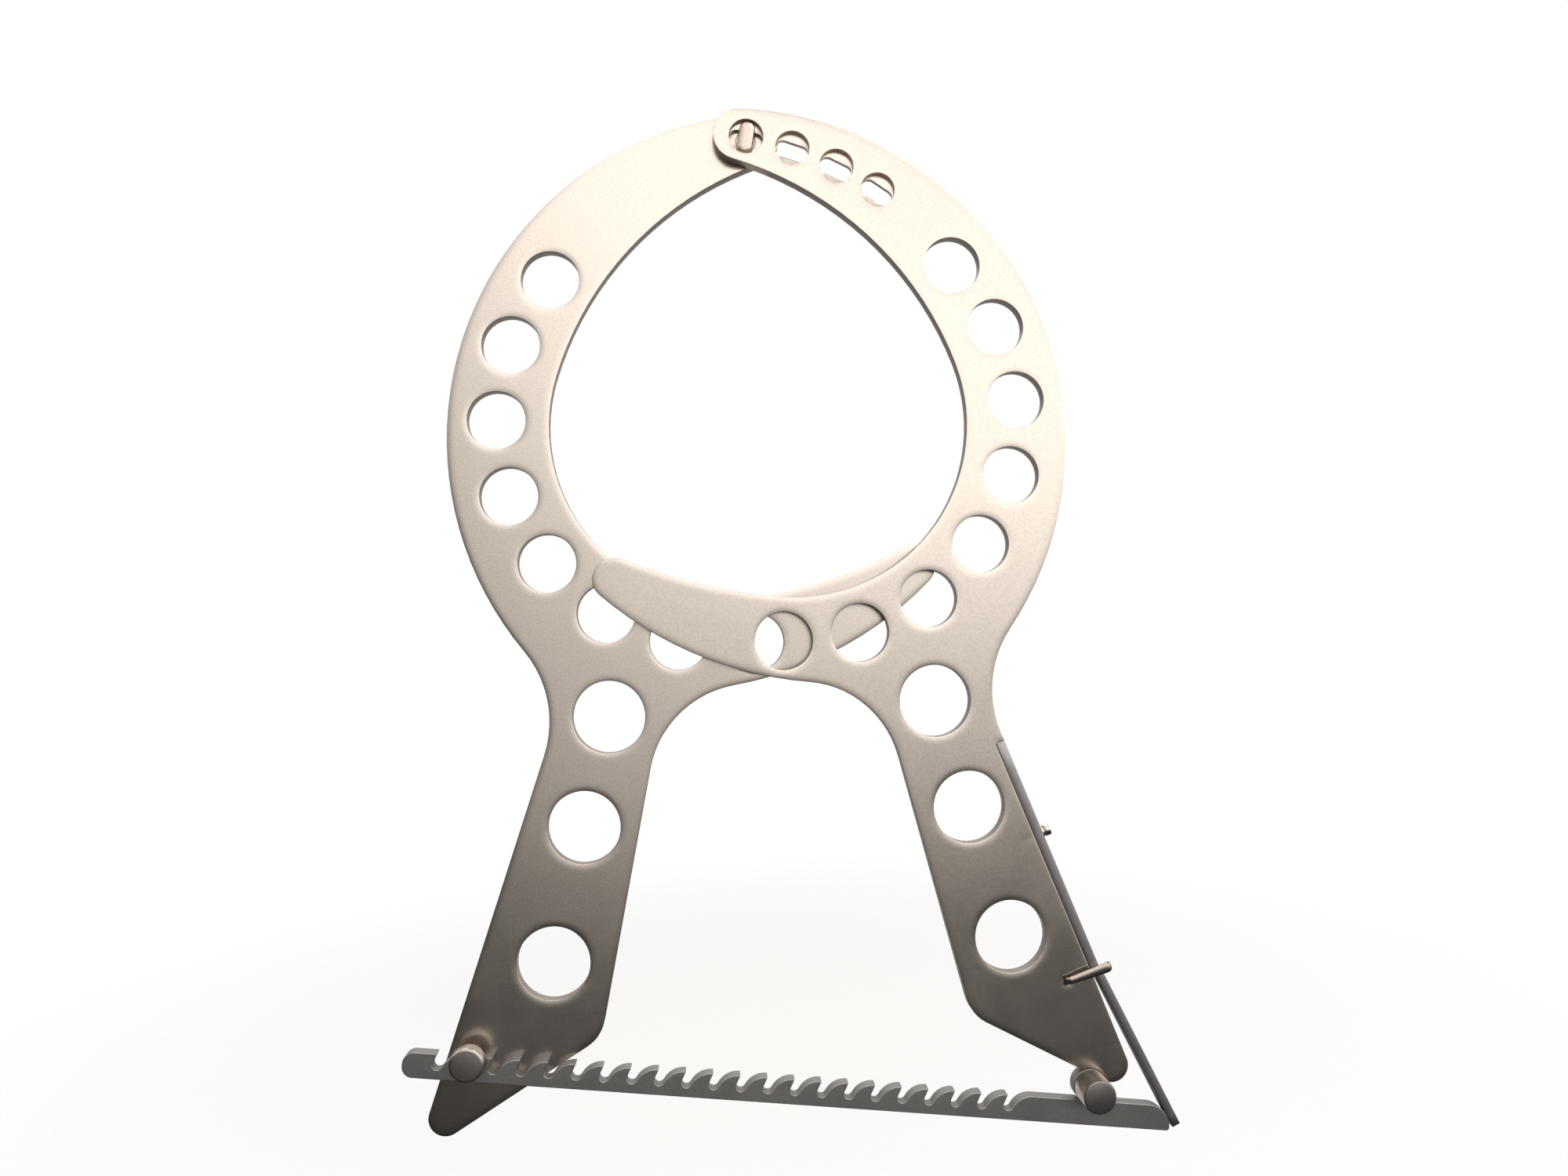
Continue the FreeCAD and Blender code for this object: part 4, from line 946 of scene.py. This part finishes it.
ramp.elements[0].position = DARK_END
ramp.elements[0].color = DARKEST
ramp.elements[1].position = 1.0
ramp.elements[1].color = CEILING
for spot, tone in SHADES:
    ramp.elements.new(spot).color = (tone, tone * WARM_GREEN, tone * WARM_BLUE, 1.0)
values = {0: shades.outputs[0], "Scale": ROOM_BRIGHTNESS}
room = add(tree, "VectorMath", values, operation="SCALE").outputs[0]
print("room has", len(ramp.elements), "shades")

# %% [markdown]
# Straight behind the object hangs a white backdrop. The camera sees it everywhere, also through
# clear things, and in reflections it only shows in directions close to straight back, so it
# doesn't wash out the shade that the room gives.

# %% Backdrop
WHITE = (1.0, 1.0, 1.0, 1.0)
BACKDROP_FROM, BACKDROP_FULL = 0.6, 0.92
rays = add(tree, "LightPath").outputs
seen = larger(tree, rays["Is Camera Ray"], rays["Is Transmission Ray"])
straight_back = slope(tree, back, BACKDROP_FROM, BACKDROP_FULL)
reflected = times(tree, rays["Is Glossy Ray"], straight_back)
colour = mix_colours(tree, larger(tree, seen, reflected), room, WHITE)
background = tree.nodes["Background"]
tree.links.new(colour, background.inputs["Color"])
background.inputs["Strength"].default_value = 1.0
print("backdrop hung")

# %% [markdown]
# Three large soft lamps add direction: a main one high on the right in front, a weaker one on
# the left that keeps the shadows open, and one above the back for when the object is turned.

# %% Lamps
AIM = Vector((0.06, 0.0, 0.08))


def soft_lamp(name, place, size, power):
    """A round lamp that looks at the middle of the object."""
    lamp = bpy.data.lights.new(name, "AREA")
    lamp.shape = "DISK"
    lamp.size = size
    lamp.energy = power
    holder = bpy.data.objects.new(name, lamp)
    holder.location = place
    holder.rotation_euler = (AIM - holder.location).to_track_quat("-Z", "Y").to_euler()
    bpy.context.scene.collection.objects.link(holder)
    print(name, "gives", power, "watts")


soft_lamp("main_lamp", (0.55, -0.55, 0.85), 0.5, 2.0)
soft_lamp("left_lamp", (-0.7, -0.35, 0.45), 0.6, 0.6)
soft_lamp("back_lamp", (0.1, 0.8, 0.7), 0.6, 1.5)

# %% [markdown]
# The floor lies below, pale and plain. It is a disc that fades out from its middle to its rim,
# so that no line shows against the backdrop.

# %% Floor
FLOOR_CENTRE, DISC_RADIUS = (0.06, 0.62, -0.25), 0.75
FADED, SOLID = 0.74, 0.05
work = bmesh.new()
bmesh.ops.create_circle(work, cap_ends=True, segments=96, radius=DISC_RADIUS)
bmesh.ops.translate(work, vec=FLOOR_CENTRE, verts=work.verts)
mesh = bpy.data.meshes.new("floor")
work.to_mesh(mesh)
work.free()
floor = bpy.data.objects.new("floor", mesh)
bpy.context.scene.collection.objects.link(floor)
pale = bpy.data.materials.new("pale_floor")
pale.use_nodes = True
tree = pale.node_tree
shader = tree.nodes["Principled BSDF"]
shader.inputs["Base Color"].default_value = (0.88, 0.88, 0.87, 1.0)
shader.inputs["Roughness"].default_value = 0.9
apart = vectors(tree, "DISTANCE", own_place(tree), FLOOR_CENTRE)
tree.links.new(slope(tree, apart, FADED, SOLID), shader.inputs["Alpha"])
mesh.materials.append(pale)
print("floor laid", DISC_RADIUS * 2.0, "m across")
